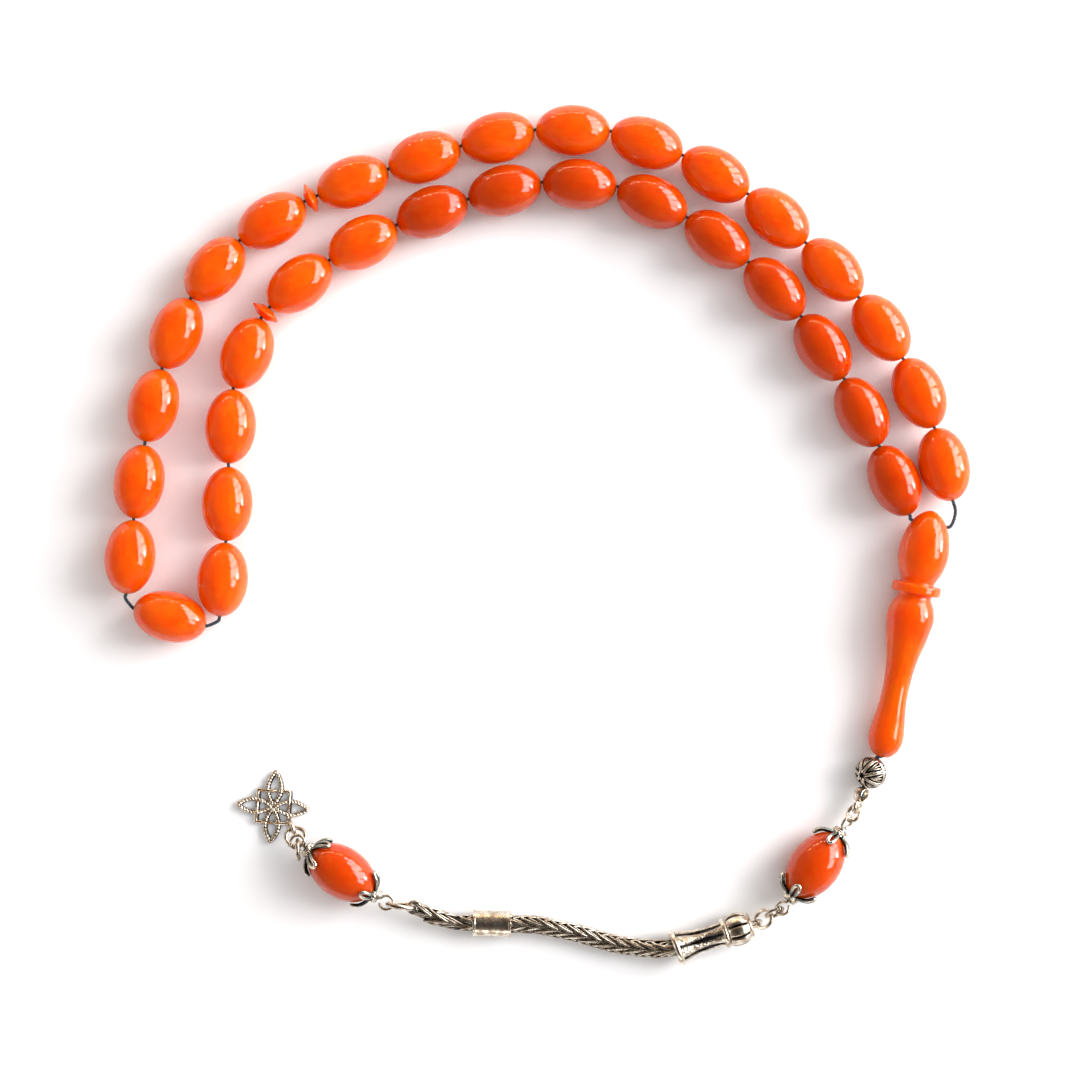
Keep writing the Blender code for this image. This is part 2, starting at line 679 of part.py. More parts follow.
def add_ball_and_cover(foot_end, leader_frame, along):
    towards = heading(BALL_HEADING, -1.0)
    heel_at, heel = LEADER_HEEL
    heel_middle = leader_frame @ Vector((heel_at - CROSS_HOLE_AT, 0, 0))
    reach = LEADER_FOOT[-1][0] - heel_at + CLEAR + BALL_DIAMETER / 2
    middle = heel_middle + towards * reach
    middle.z = BALL_DIAMETER / 2
    towards = (middle - heel_middle).normalized()
    ball = add_mesh("filigree_ball", ball_shape(), frame_at(middle, towards), SILVER)
    note_joint(ball, towards)
    cover_way = heading(COVER_HEADING, 6.0)
    knot = middle + towards * (BALL_DIAMETER / 2 + 0.2) + cover_way * (COVER_SHELL / 2)
    frame = frame_at(knot, cover_way, -55.0)
    cover = add_mesh("knot_cover", cover_shell_shape(), frame, SILVER)
    centre = COVER_SHELL / 2 + COVER_RING - 0.1
    combine(cover, oval(COVER_RING, COVER_RING, COVER_WIRE, centre), frame, "UNION", "ring")
    note_joint(cover, Vector((-cover_way.y, cover_way.x, 0.0)))
    tail = [leader_frame @ Vector((0.9, 0, 0)), leader_frame @ Vector((20.0, 0, 0))]
    entry = middle - towards * BALL_DIAMETER / 2
    tail += smooth([foot_end - along * MOUTH_DEPTH * 1.6, foot_end - along * 0.3, entry, middle], 3)
    tail += [middle + towards * BALL_DIAMETER / 2, knot - cover_way * 0.45]
    tail += [knot - cover_way * 0.25, knot + cover_way * 0.1, knot + cover_way * 0.35]
    swell = KNOT_DIAMETER / THREAD
    radii = [1.0] * (len(tail) - 4) + [1.0, swell, swell, 0.6]
    add_thread("cord_tail", tail, radii)
    return Eye(frame, centre, COVER_RING, COVER_RING, COVER_WIRE)


def add_ring(name, size, parent, way):
    """Wire ring hooked on the parent's ring, pulling the way given."""
    half_length, half_width, radius = size
    place, wire_way = parent.hook(way)
    frame = hung_frame(place, way, wire_way)
    middle = half_length - radius - parent.wire - CLEAR
    ring = add_mesh(name, oval(half_length, half_width, radius, middle), frame, SILVER)
    note_joint(ring, wire_way)
    return Eye(frame, middle, half_length, half_width, radius)


def ring_reach(size, parent):
    return 2 * size[0] - size[2] - parent.wire - CLEAR


def rising(parent, reach, end_height, towards):
    """Direction of a piece hooked on the parent, whose far end comes to a height."""
    start, _ = parent.hook(heading(towards))
    return heading(towards, math.degrees(math.asin((end_height - start.z) / reach)))


def add_pinned_bead(label, parent, towards, far_roll):
    """Tassel bead on its eye pin between two petal caps, with the bead on the table."""
    near = EYE - PIN_WIRE - parent.wire - CLEAR
    way = rising(parent, near + pin_reach(), BEAD_DIAMETER / 2, towards)
    place, wire_way = parent.hook(way)
    frame = hung_frame(place, way, wire_way)
    _, side, above, _ = (column.to_3d() for column in frame_at(place, way).col)
    roll = far_roll - math.degrees(math.atan2(-wire_way.dot(side), wire_way.dot(above)))
    pin = add_mesh(f"eye_pin_{label}", pin_shape(near, roll), frame, SILVER)
    note_joint(pin, wire_way)
    middle = frame_at(place + way * (near + pin_reach()), way)
    bead = add_mesh(f"tassel_bead_{label}", bead_shape(), middle, AMBER)
    note_joint(bead, way)
    for end, side in (("near", -1), ("far", 1)):
        neck, petals = cap_shapes(side)
        cap = add_mesh(f"cap_{label}_{end}", neck, middle, SILVER)
        combine(cap, petals, middle, "UNION", "petals")
    turned_frame = frame @ Matrix.Rotation(math.radians(roll), 4, "X")
    return Eye(turned_frame, near + 2 * pin_reach(), EYE, EYE, PIN_WIRE)


def add_crown(parent, towards):
    loop, loop_wire = CROWN_LOOP
    near = loop - loop_wire - parent.wire - CLEAR
    shift = near + loop - 0.1
    top = CROWN_RIM[-1][0]
    way = rising(parent, shift + top, CROWN_RIM[-1][1], towards)
    place, wire_way = parent.hook(way)
    frame = hung_frame(place, way, wire_way)
    points, faces = crown_shape()
    crown = add_mesh("crown", ([(x + shift, y, z) for x, y, z in points], faces), frame, SILVER)
    slots = crown_slots()
    moved = ([p + Vector((shift, 0, 0)) for p in slots[0]], slots[1])
    combine(crown, moved, frame, "DIFFERENCE", "slots")
    combine(crown, oval(loop, loop, loop_wire, near), frame, "UNION", "loop")
    note_joint(crown, wire_way)
    return frame @ Vector((shift + top, 0, 0)), way


def add_chain(mouth, way):
    """Chain in two stretches that turn on each other, and the barrel on its straight stretch."""
    spot = mouth.copy()
    line = [spot]
    for (towards, length), height in zip(CHAIN_LIE, CHAIN_HEIGHTS):
        spot = spot + heading(towards) * length
        spot.z = mouth.z + height
        line.append(spot)
    tucked = [mouth - way * CHAIN_TUCK, mouth - way * CHAIN_TUCK / 2]
    bend = smooth([tucked[1], *line[:-1]], 3)[1:]
    run = [*tucked, *bend, line[-1]]
    straight_way = (line[-1] - line[-2]).normalized()
    tip = line[-1] + straight_way * CHAIN_TAPER
    radius = CHAIN / 2
    radii = [radius * 0.5] + [radius] * (len(run) - 1) + [radius * 0.35]
    shape = chain_tube([p - mouth for p in run + [tip]], radii)
    fore = add_mesh("chain_fore", shape, Matrix.Translation(mouth), SILVER)
    note_joint(fore, UP)
    barrel_frame = frame_at(line[-2] + straight_way * BARREL_AT, straight_way)
    barrel = add_mesh("slide_barrel", barrel_shape(), barrel_frame, SILVER)
    note_joint(barrel, straight_way)
    pivot = tip + straight_way * CHAIN_GAP / 2
    aft = [tip + straight_way * CHAIN_GAP]
    for towards, length in CHAIN_END_LIE:
        aft.append(aft[-1] + heading(towards, CHAIN_END_RISE) * length)
    start_way, last_way = (aft[1] - aft[0]).normalized(), (aft[-1] - aft[-2]).normalized()
    body = [aft[0], aft[0] + start_way * CHAIN_TAPER, *smooth(aft, 3)[3:], aft[-1] + last_way * 0.8]
    radii = [radius * 0.35] + [radius] * (len(body) - 2) + [radius * 0.4]
    shape = chain_tube([p - pivot for p in body], radii)
    rear = add_mesh("chain_aft", shape, Matrix.Translation(pivot), SILVER)
    loop, loop_wire = CHAIN_LOOP
    loop_frame = frame_at(body[-1], last_way)
    combine(rear, oval(loop, loop, loop_wire, loop - 0.25), loop_frame, "UNION", "loop")
    note_joint(rear, UP)
    return Eye(loop_frame, loop - 0.25, loop, loop, loop_wire)


def add_pendant(parent, towards):
    """Pendant flat on the table, with its bail standing from a corner up to the pendant's ring."""
    place, _ = parent.hook(heading(towards))
    way = heading(towards)
    corner = place + way * BAIL_RUN
    corner.z = FRAME_WIRE
    centre = corner + way * FRAME_SIDE / 2 * math.sqrt(2)
    place, wire_way = parent.hook((corner - place).normalized())
    slope = (corner - place).normalized()
    frame = frame_at(place, way)
    to_local = frame.inverted() @ frame_at(centre, -way)

    def moved(shape):
        return [to_local @ Vector(p) for p in shape[0]], shape[1]

    rise = FRAME_WIRE
    hub = turned([(-rise, 0.0), (-rise, HUB / 2), (rise, HUB / 2), (rise, 0.0)], 10)
    upright = ([(z, y, x) for x, y, z in hub[0]], hub[1])
    pendant = add_mesh("pendant", moved(upright), frame, SILVER)
    combine(pendant, moved(pendant_arms()), frame, "UNION", "arms")
    combine(pendant, moved(pendant_frame()), frame, "UNION", "frame")
    back = BAIL_WIRE + parent.wire + CLEAR
    half = ((corner - place).length + back) / 2
    combine(pendant, oval(half, BAIL_WIDTH, BAIL_WIRE, half - back), hung_frame(place, slope, wire_way),
            "UNION", "bail")
    note_joint(pendant, wire_way)


def add_tassel(cover_eye):
    table_bead = BEAD_DIAMETER / 2
    way = rising(cover_eye, ring_reach(UPPER_LINK, cover_eye), table_bead - 0.5, 241.0)
    link = add_ring("link_upper", UPPER_LINK, cover_eye, way)
    eye = add_pinned_bead("upper", link, 232.5, 40.0)
    link = add_ring("link_lower", LOWER_LINK, eye, heading(212.0, -14.0))
    way = rising(link, ring_reach(CROWN_RING, link), CROWN_DOME[3][1], 208.0)
    ring = add_ring("crown_ring", CROWN_RING, link, way)
    mouth, way = add_crown(ring, 196.8)
    chain_eye = add_chain(mouth, way)
    way = rising(chain_eye, ring_reach(END_RING, chain_eye), table_bead, 170.0)
    ring = add_ring("end_ring", END_RING, chain_eye, way)
    eye = add_pinned_bead("lower", ring, 145.5, 0.0)
    ring = add_ring("jump_ring", JUMP_RING, eye, heading(264.0, -80.0))
    ring = add_ring("pendant_ring", PENDANT_RING, ring, heading(130.0, -17.0))
    add_pendant(ring, 129.0)


def stand_on_origin():
    """Moves the whole object so that the middle of its footprint is at the origin."""
    bpy.context.view_layer.update()
    shown = [thing for thing in bpy.data.objects if not thing.hide_render]
    graph = bpy.context.evaluated_depsgraph_get()
    corners = []
    for thing in shown:
        done = thing.evaluated_get(graph)
        mesh = done.to_mesh()
        corners += [done.matrix_world @ point.co for point in mesh.vertices]
        done.to_mesh_clear()
    low = Vector(min(corner[i] for corner in corners) for i in range(3))
    high = Vector(max(corner[i] for corner in corners) for i in range(3))
    shift = Vector(((low.x + high.x) / 2, (low.y + high.y) / 2, low.z))
    for thing in bpy.data.objects:
        thing.location -= shift
        if "joint_place" in thing:
            thing["joint_place"] = list(Vector(thing["joint_place"]) - shift)


def build():
    clear_scene()
    outer, inner, tip_ends, beyond = add_strands()
    start = (outer[bead_name(1)][0] + inner[bead_name(3 * BEADS_PER_THIRD)][0]) / 2
    cross_hole, cross_side, foot_end, leader_frame, along = add_leader(start)
    add_threads(outer, inner, tip_ends, beyond, cross_hole, cross_side)
    add_tassel(add_ball_and_cover(foot_end, leader_frame, along))
    stand_on_origin()


build()
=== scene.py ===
import json
import math
import bpy
import numpy as np
from mathutils import Matrix, Vector


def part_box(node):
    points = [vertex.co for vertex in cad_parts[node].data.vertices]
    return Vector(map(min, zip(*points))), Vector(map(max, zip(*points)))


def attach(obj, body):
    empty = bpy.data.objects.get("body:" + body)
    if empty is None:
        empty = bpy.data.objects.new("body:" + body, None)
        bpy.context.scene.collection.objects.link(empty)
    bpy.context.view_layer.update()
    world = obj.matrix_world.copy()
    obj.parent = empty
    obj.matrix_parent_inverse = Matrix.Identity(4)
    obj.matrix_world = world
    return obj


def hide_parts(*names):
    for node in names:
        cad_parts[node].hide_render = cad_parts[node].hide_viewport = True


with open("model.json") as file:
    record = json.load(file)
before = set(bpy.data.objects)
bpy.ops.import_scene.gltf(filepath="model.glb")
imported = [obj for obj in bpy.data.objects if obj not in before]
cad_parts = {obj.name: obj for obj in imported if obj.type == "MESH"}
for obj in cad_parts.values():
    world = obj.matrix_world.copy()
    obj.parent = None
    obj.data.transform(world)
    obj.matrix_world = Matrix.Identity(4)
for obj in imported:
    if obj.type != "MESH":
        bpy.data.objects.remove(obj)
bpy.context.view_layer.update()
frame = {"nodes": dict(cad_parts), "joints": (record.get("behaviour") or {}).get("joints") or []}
joints = {joint["name"]: joint for joint in frame["joints"]}
mm = 0.001
up = Vector((0, 0, 1))


def placeOf(joint):
    return Vector(joints[joint]["pos_m"]) / mm


def axisOf(joint):
    return Vector(joints[joint]["axis"]).normalized()


def middleOf(node):
    low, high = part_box(node)
    return (low + high) / 2 / mm


def pointsOf(node):
    return np.array([vertex.co for vertex in frame["nodes"][node].data.vertices]) / mm


def heading(degrees, rise=0.0):
    flat, steep = math.radians(degrees), math.radians(rise)
    return Vector((math.cos(flat) * math.cos(steep), math.sin(flat) * math.cos(steep), math.sin(steep)))


def frameAt(place, along, normal=None):
    # X runs along the piece, and Z is as near to the normal as it can be
    side = (normal or up).cross(along).normalized()
    turn = Matrix((along, side, along.cross(side))).transposed().to_4x4()
    return Matrix.Translation(place) @ turn


def flatFrame(points):
    # frame of a flat wire shape, X along its longest way and Z square to it, with its half sizes
    middle = points.mean(axis=0)
    ways = np.linalg.eigh(np.cov((points - middle).T))[1]
    longWay, normal = Vector(ways[:, 2]), Vector(ways[:, 0])
    if normal.z < 0:
        normal = -normal
    spots = (points - middle) @ np.array([longWay, normal.cross(longWay), normal]).T
    halves = (spots.max(axis=0) - spots.min(axis=0)) / 2
    shift = (spots.max(axis=0) + spots.min(axis=0)) / 2
    made = frameAt(Vector(middle), longWay, normal)
    return made @ Matrix.Translation(shift), halves


def smooth(points, steps):
    # Catmull-Rom curve through the points
    points = [Vector(point) for point in points]
    ends = [2 * points[0] - points[1], *points, 2 * points[-1] - points[-2]]
    curve = []
    for a, b, c, d in zip(ends, ends[1:], ends[2:], ends[3:]):
        for i in range(steps):
            t = i / steps
            bend, twist = 2 * a - 5 * b + 4 * c - d, 3 * b - a - 3 * c + d
            curve.append(0.5 * (2 * b + (c - a) * t + bend * t**2 + twist * t**3))
    curve.append(points[-1])
    return curve


def placed(name, points, faces, material, place=Matrix(), patinaShade=None, sharp=None):
    # a finished piece: sizes in mm, its place in its mesh, and faces outwards
    mesh = bpy.data.meshes.new(name)
    mesh.from_pydata([tuple(place @ Vector(point) * mm) for point in points], [], faces)
    mesh.materials.append(material)
    # an optional mask for the silver's dark patina and painted shade
    if patinaShade is not None:
        mesh.attributes.new("patinaShade", "FLOAT", "POINT").data.foreach_set("value", patinaShade)
    mesh.shade_smooth()
    if sharp:
        mesh.set_sharp_from_angle(angle=math.radians(sharp))
    piece = bpy.data.objects.new(name, mesh)
    bpy.context.scene.collection.objects.link(piece)
    return piece


def lathe(outline, segments, closed=True, lobe=None):
    # turns (x, radius) points about X; radius 0 makes a pole; lobe(x, angle) scales the radius
    points, rings, faces = [], [], []
    for x, radius in outline:
        count = segments if radius > 0 else 1
        rings.append(range(len(points), len(points) + count))
        for step in range(count):
            angle = math.tau * step / segments
            reach = radius * (lobe(x, angle) if lobe else 1)
            points.append((x, reach * math.cos(angle), reach * math.sin(angle)))
    pairs = list(zip(rings, rings[1:]))
    if closed and outline[0][1] > 0:
        pairs.append((rings[-1], rings[0]))
    for first, second in pairs:
        for step in range(segments):
            after = (step + 1) % segments
            if len(first) == 1:
                faces.append((first[0], second[after], second[step]))
            elif len(second) == 1:
                faces.append((first[step], first[after], second[0]))
            else:
                faces.append((first[step], first[after], second[after], second[step]))
    return points, facingOut(points, faces)


def facingOut(points, faces):
    volume = 0.0
    for face in faces:
        first = Vector(points[face[0]])
        for second, third in zip(face[1:], face[2:]):
            volume += first.dot(Vector(points[second]).cross(Vector(points[third])))
    return faces if volume > 0 else [tuple(reversed(face)) for face in faces]


def joined(name, pieces):
    # one object from several of the same body
    with bpy.context.temp_override(active_object=pieces[0], selected_editable_objects=pieces):
        bpy.ops.object.join()
    pieces[0].name = name
    pieces[0].data.name = name
    return pieces[0]


def feed(tree, node, given):
    # each input gets a value, or a link from a node or from one of its outputs
    for key, value in given.items():
        if isinstance(value, bpy.types.Node):
            value = value.outputs[0]
        if isinstance(value, bpy.types.NodeSocket):
            tree.links.new(value, node.inputs[key])
        else:
            node.inputs[key].default_value = value
    return node


def addNode(tree, kind, given=None, **settings):
    made = tree.nodes.new(kind)
    for name, value in settings.items():
        setattr(made, name, value)
    return feed(tree, made, given or {})


def startTree(name, sizes):
    tree = bpy.data.node_groups.new(name, "GeometryNodeTree")
    tree.interface.new_socket("Path", in_out="INPUT", socket_type="NodeSocketGeometry")
    for label, kind in sizes.items():
        tree.interface.new_socket(label, in_out="INPUT", socket_type="NodeSocket" + kind)
    tree.interface.new_socket("Material", in_out="INPUT", socket_type="NodeSocketMaterial")
    tree.interface.new_socket("Piece", in_out="OUTPUT", socket_type="NodeSocketGeometry")
    return tree, addNode(tree, "NodeGroupInput").outputs


def endTree(tree, given, shape):
    solid = addNode(tree, "GeometryNodeRealizeInstances", {"Geometry": shape})
    soft = addNode(tree, "GeometryNodeSetShadeSmooth", {"Geometry": solid})
    painted = addNode(tree, "GeometryNodeSetMaterial", {"Geometry": soft, "Material": given["Material"]})
    addNode(tree, "NodeGroupOutput", {"Piece": painted})
    return tree


def mathNode(tree, operation, first, second=0.0):
    return addNode(tree, "ShaderNodeMath", {0: first, 1: second}, operation=operation)


def wireTree():
    # round wire along a path, as thick at each point as the path's "thick" says
    tree, given = startTree("wire", {"Radius": "Float", "Sides": "Int"})
    path = addNode(tree, "GeometryNodeMeshToCurve", {"Mesh": given["Path"]})
    thick = addNode(tree, "GeometryNodeInputNamedAttribute", {"Name": "thick"})
    ring = addNode(tree, "GeometryNodeCurvePrimitiveCircle",
                   {"Resolution": given["Sides"], "Radius": given["Radius"]})
    tube = addNode(tree, "GeometryNodeCurveToMesh",
                   {"Curve": path, "Profile Curve": ring, "Scale": thick, "Fill Caps": True})
    return endTree(tree, given, tube)


def ropeTree():
    # strands twisted round a path
    tree, given = startTree("rope", {"Strands": "Int", "Strand Radius": "Float", "Reach": "Float",
                                     "Lay": "Float", "Step": "Float", "Sides": "Int"})
    path = addNode(tree, "GeometryNodeMeshToCurve", {"Mesh": given["Path"]})
    fine = addNode(tree, "GeometryNodeResampleCurve", {"Curve": path, "Length": given["Step"]}, mode="LENGTH")
    copies = addNode(tree, "GeometryNodeDuplicateElements",
                     {"Geometry": fine, "Amount": given["Strands"]}, domain="SPLINE")
    along = addNode(tree, "GeometryNodeSplineParameter").outputs["Length"]
    turns = mathNode(tree, "DIVIDE", along, given["Lay"])
    share = mathNode(tree, "DIVIDE", copies.outputs["Duplicate Index"], given["Strands"])
    angle = mathNode(tree, "MULTIPLY", mathNode(tree, "ADD", turns, share), math.tau)
    normal = addNode(tree, "GeometryNodeInputNormal")
    side = addNode(tree, "ShaderNodeVectorMath",
                   {0: addNode(tree, "GeometryNodeInputTangent"), 1: normal}, operation="CROSS_PRODUCT")
    parts = []
    for way, wave in ((normal, "COSINE"), (side, "SINE")):
        reach = mathNode(tree, "MULTIPLY", mathNode(tree, wave, angle), given["Reach"])
        parts.append(addNode(tree, "ShaderNodeVectorMath", {0: way, "Scale": reach}, operation="SCALE"))
    offset = addNode(tree, "ShaderNodeVectorMath", {0: parts[0], 1: parts[1]}, operation="ADD")
    moved = addNode(tree, "GeometryNodeSetPosition", {"Geometry": copies, "Offset": offset})
    ring = addNode(tree, "GeometryNodeCurvePrimitiveCircle",
                   {"Resolution": given["Sides"], "Radius": given["Strand Radius"]})
    tube = addNode(tree, "GeometryNodeCurveToMesh",
                   {"Curve": moved, "Profile Curve": ring, "Fill Caps": True})
    return endTree(tree, given, tube)


def aroundTree():
    # copies of a shape turned evenly round X
    tree, given = startTree("around", {"Shape": "Object", "Count": "Int", "First": "Float"})
    spots = addNode(tree, "GeometryNodeMeshLine", {"Count": given["Count"], "Offset": (0, 0, 0)})
    step = mathNode(tree, "DIVIDE", math.tau, given["Count"])
    number = addNode(tree, "GeometryNodeInputIndex")
    angle = mathNode(tree, "ADD", mathNode(tree, "MULTIPLY", number, step), given["First"])
    turn = addNode(tree, "FunctionNodeAxisAngleToRotation", {"Axis": (1, 0, 0), "Angle": angle})
    shape = addNode(tree, "GeometryNodeObjectInfo", {"Object": given["Shape"]}).outputs["Geometry"]
    copies = addNode(tree, "GeometryNodeInstanceOnPoints",
                     {"Points": spots, "Instance": shape, "Rotation": turn})
    return endTree(tree, given, copies)


def chainTree():
    # rows of bent links along a path, every other one sunk a little
    tree, given = startTree("chain", {"Link": "Object", "Pitch": "Float", "Rows": "Int",
                                      "First": "Float", "Sunk": "Float"})
    path = addNode(tree, "GeometryNodeMeshToCurve", {"Mesh": given["Path"]})
    spots = addNode(tree, "GeometryNodeResampleCurve",
                    {"Curve": path, "Length": given["Pitch"]}, mode="LENGTH")
    rows = addNode(tree, "GeometryNodeDuplicateElements",
                   {"Geometry": spots, "Amount": given["Rows"]}, domain="SPLINE")
    number = addNode(tree, "GeometryNodeSplineParameter").outputs["Index"]
    odd = mathNode(tree, "MODULO", number, 2.0)
    sunk = mathNode(tree, "SUBTRACT", 1.0, mathNode(tree, "MULTIPLY", odd, given["Sunk"]))
    thick = addNode(tree, "GeometryNodeInputNamedAttribute", {"Name": "thick"})
    size = mathNode(tree, "MULTIPLY", sunk, thick)
    scale = addNode(tree, "ShaderNodeCombineXYZ", {0: 1.0, 1: size, 2: size})
    base = addNode(tree, "FunctionNodeAxesToRotation",
                   {"Primary Axis": addNode(tree, "GeometryNodeInputTangent"), "Secondary Axis": (0, 0, 1)},
                   primary_axis="X", secondary_axis="Z")
    step = mathNode(tree, "DIVIDE", math.tau, given["Rows"])
    rowTurn = mathNode(tree, "MULTIPLY", rows.outputs["Duplicate Index"], step)
    angle = mathNode(tree, "ADD", rowTurn, given["First"])
    spin = addNode(tree, "FunctionNodeAxisAngleToRotation", {"Axis": (1, 0, 0), "Angle": angle})
    turn = addNode(tree, "FunctionNodeRotateRotation", {"Rotation": base, "Rotate By": spin},
                   rotation_space="LOCAL")
    shape = addNode(tree, "GeometryNodeObjectInfo", {"Object": given["Link"]}).outputs["Geometry"]
    links = addNode(tree, "GeometryNodeInstanceOnPoints",
                    {"Points": rows, "Instance": shape, "Rotation": turn, "Scale": scale})
    return endTree(tree, given, links)


trees = {"wire": wireTree(), "rope": ropeTree(), "around": aroundTree(), "chain": chainTree()}


def grow(name, kind, values, material, path=(), closed=False, thick=None, place=Matrix()):
    # runs one of the trees along a path given in mm and keeps the result as a plain mesh
    mesh = bpy.data.meshes.new(name)
    links = [(i, i + 1) for i in range(len(path) - 1)]
    if closed:
        links.append((len(path) - 1, 0))
    mesh.from_pydata([tuple(Vector(point) * mm) for point in path], links, [])
    sizes = thick or [1.0] * len(path)
    mesh.attributes.new("thick", "FLOAT", "POINT").data.foreach_set("value", sizes)
    maker = bpy.data.objects.new(name, mesh)
    bpy.context.scene.collection.objects.link(maker)
    step = maker.modifiers.new(kind, "NODES")
    step.node_group = trees[kind]
    for item in trees[kind].interface.items_tree:
        if item.in_out == "INPUT" and item.name in values:
            step[item.identifier] = values[item.name]
        elif item.name == "Material":
            step[item.identifier] = material
    bpy.context.view_layer.update()
    made = bpy.data.meshes.new_from_object(maker.evaluated_get(bpy.context.evaluated_depsgraph_get()))
    made.name = name
    bpy.data.objects.remove(maker)
    made.transform(Matrix.Scale(mm, 4) @ place @ Matrix.Scale(1 / mm, 4))
    if not made.materials:
        made.materials.append(material)
    piece = bpy.data.objects.new(name, made)
    bpy.context.scene.collection.objects.link(piece)
    return piece


def wire(name, path, radius, material, sides=10, **more):
    return grow(name, "wire", {"Radius": radius * mm, "Sides": sides}, material, path, **more)


def oval(halfLong, halfWide, middle=0.0, steps=40):
    turns = [math.tau * i / steps for i in range(steps)]
    return [(middle + halfLong * math.cos(a), halfWide * math.sin(a), 0) for a in turns]


def markPatinaAndShade(piece, outward, low=0.2, high=0.75):
    # marks how far each point faces outwards, so that the finish stays dark in the hollows and on the flanks:
    # patina there, and painted shade as well
    mesh, patinaShade = piece.data, []
    for vertex, normal in zip(mesh.vertices, mesh.vertex_normals):
        facing = normal.vector.dot(outward(vertex.co / mm, normal.vector))
        patinaShade.append(min(max((facing - low) / (high - low), 0.0), 1.0))
    mark = mesh.attributes.get("patinaShade") or mesh.attributes.new("patinaShade", "FLOAT", "POINT")
    mark.data.foreach_set("value", patinaShade)
    return piece


def fromPoint(middle):
    return lambda spot, normal: (spot - middle).normalized()


def fromAxis(place):
    # place is a frame whose X is the axis
    start, along = place.translation.copy(), place.col[0].to_3d()
    return lambda spot, normal: ((spot - start) - along * along.dot(spot - start)).normalized()


def fromPath(path, spacing=0.3):
    middles = []
    for start, end in zip(path, path[1:]):
        steps = max(1, round((end - start).length / spacing))
        middles += [start + (end - start) * i / steps for i in range(steps)]
    middles = np.array(middles + [path[-1]])

    def nearest(spot, normal):
        closest = middles[((middles - np.array(spot)) ** 2).sum(axis=1).argmin()]
        return (spot - Vector(closest)).normalized()
    return nearest


def fromFlat(way):
    # both faces of a flat wire shape stay bright, and its flanks get the dark patina and painted shade
    return lambda spot, normal: way if normal.dot(way) > 0 else -way


silverPieces = bpy.data.collections.new("silverPieces")


def rideOn(piece, body, slot, *replaced):
    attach(piece, body)
    if slot == "oxidised_silver":
        silverPieces.objects.link(piece)
    if replaced:
        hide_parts(*replaced)


def objectPattern(tree, kind, scale, stretch=(1, 1, 1), **values):
    # a noise or other texture on Object coordinates; scale is patterns per metre
    spot = addNode(tree, "ShaderNodeTexCoord").outputs["Object"]
    moved = addNode(tree, "ShaderNodeMapping", {"Vector": spot, "Scale": stretch})
    return addNode(tree, kind, {"Vector": moved, "Scale": scale, **values})


def rampNode(tree, factor, stops):
    ramp = addNode(tree, "ShaderNodeValToRGB", {"Fac": factor})
    while len(ramp.color_ramp.elements) < len(stops):
        ramp.color_ramp.elements.new(0.5)
    for element, (at, colour) in zip(ramp.color_ramp.elements, stops):
        element.position = at
        element.color = (*colour, 1) if len(colour) == 3 else colour
    return ramp


def newMaterial(name):
    made = bpy.data.materials.new(name)
    made.use_nodes = True
    tree = made.node_tree
    return made, tree, tree.nodes["Principled BSDF"]


def resin(name, sizes):
    made, tree, shader = newMaterial(name)
    cloud = objectPattern(tree, "ShaderNodeTexNoise", sizes["cloudScale"], Detail=3.0, Distortion=0.8)
    paint = rampNode(tree, cloud.outputs[0], [(0.3, sizes["deep"]), (0.7, sizes["light"])])
    grain = objectPattern(tree, "ShaderNodeTexNoise", 2600.0, Detail=2.0)
    bump = addNode(tree, "ShaderNodeBump", {"Height": grain, "Strength": 0.02, "Distance": 0.00002})
    feed(tree, shader, {"Base Color": paint, "Normal": bump, "Subsurface Weight": sizes["translucent"],
                        "Subsurface Radius": sizes["radius"], "Subsurface Scale": sizes["depth"],
                        "Subsurface Anisotropy": sizes["forward"], "Roughness": sizes["roughness"],
                        "IOR": 1.54})
    return made


def silver(name, sizes):
    made, tree, shader = newMaterial(name)
    patch = objectPattern(tree, "ShaderNodeTexNoise", sizes["patchScale"], Detail=4.0)
    tint = rampNode(tree, patch.outputs[0], [(0.36, sizes["tarnish"]), (0.62, sizes["bright"])])
    # where the mask is low the finish turns to the recess colour: dark patina in the hollows, and painted
    # shade on the flanks and in the gaps
    patinaShade = addNode(tree, "ShaderNodeAttribute", attribute_name="patinaShade").outputs["Fac"]
    keep = mathNode(tree, "MAXIMUM", patinaShade, sizes["tintFloor"])
    paint = addNode(tree, "ShaderNodeMix", {"Factor": keep, 6: (*sizes["recess"], 1), 7: tint},
                    data_type="RGBA")
    rough = addNode(tree, "ShaderNodeMapRange",
                    {"Value": patch.outputs[0], "To Min": sizes["rough"][1], "To Max": sizes["rough"][0]})
    grain = objectPattern(tree, "ShaderNodeTexVoronoi" if sizes["pitted"] else "ShaderNodeTexNoise",
                          sizes["grainScale"])
    bump = addNode(tree, "ShaderNodeBump", {"Height": grain, "Strength": sizes["grain"], "Distance": 0.00012})
    feed(tree, shader, {"Base Color": paint.outputs[2], "Roughness": rough, "Normal": bump, "Metallic": 1.0})
    return made


def threadMaterial(name, sizes):
    made, tree, shader = newMaterial(name)
    fibre = objectPattern(tree, "ShaderNodeTexNoise", sizes["fibreScale"], Detail=3.0)
    paint = rampNode(tree, fibre.outputs[0], [(0.35, sizes["dark"]), (0.7, sizes["light"])])
    bump = addNode(tree, "ShaderNodeBump", {"Height": fibre, "Strength": 0.5, "Distance": 0.00005})
    feed(tree, shader, {"Base Color": paint, "Normal": bump, "Roughness": 0.75, "Sheen Weight": 0.3})
    return made


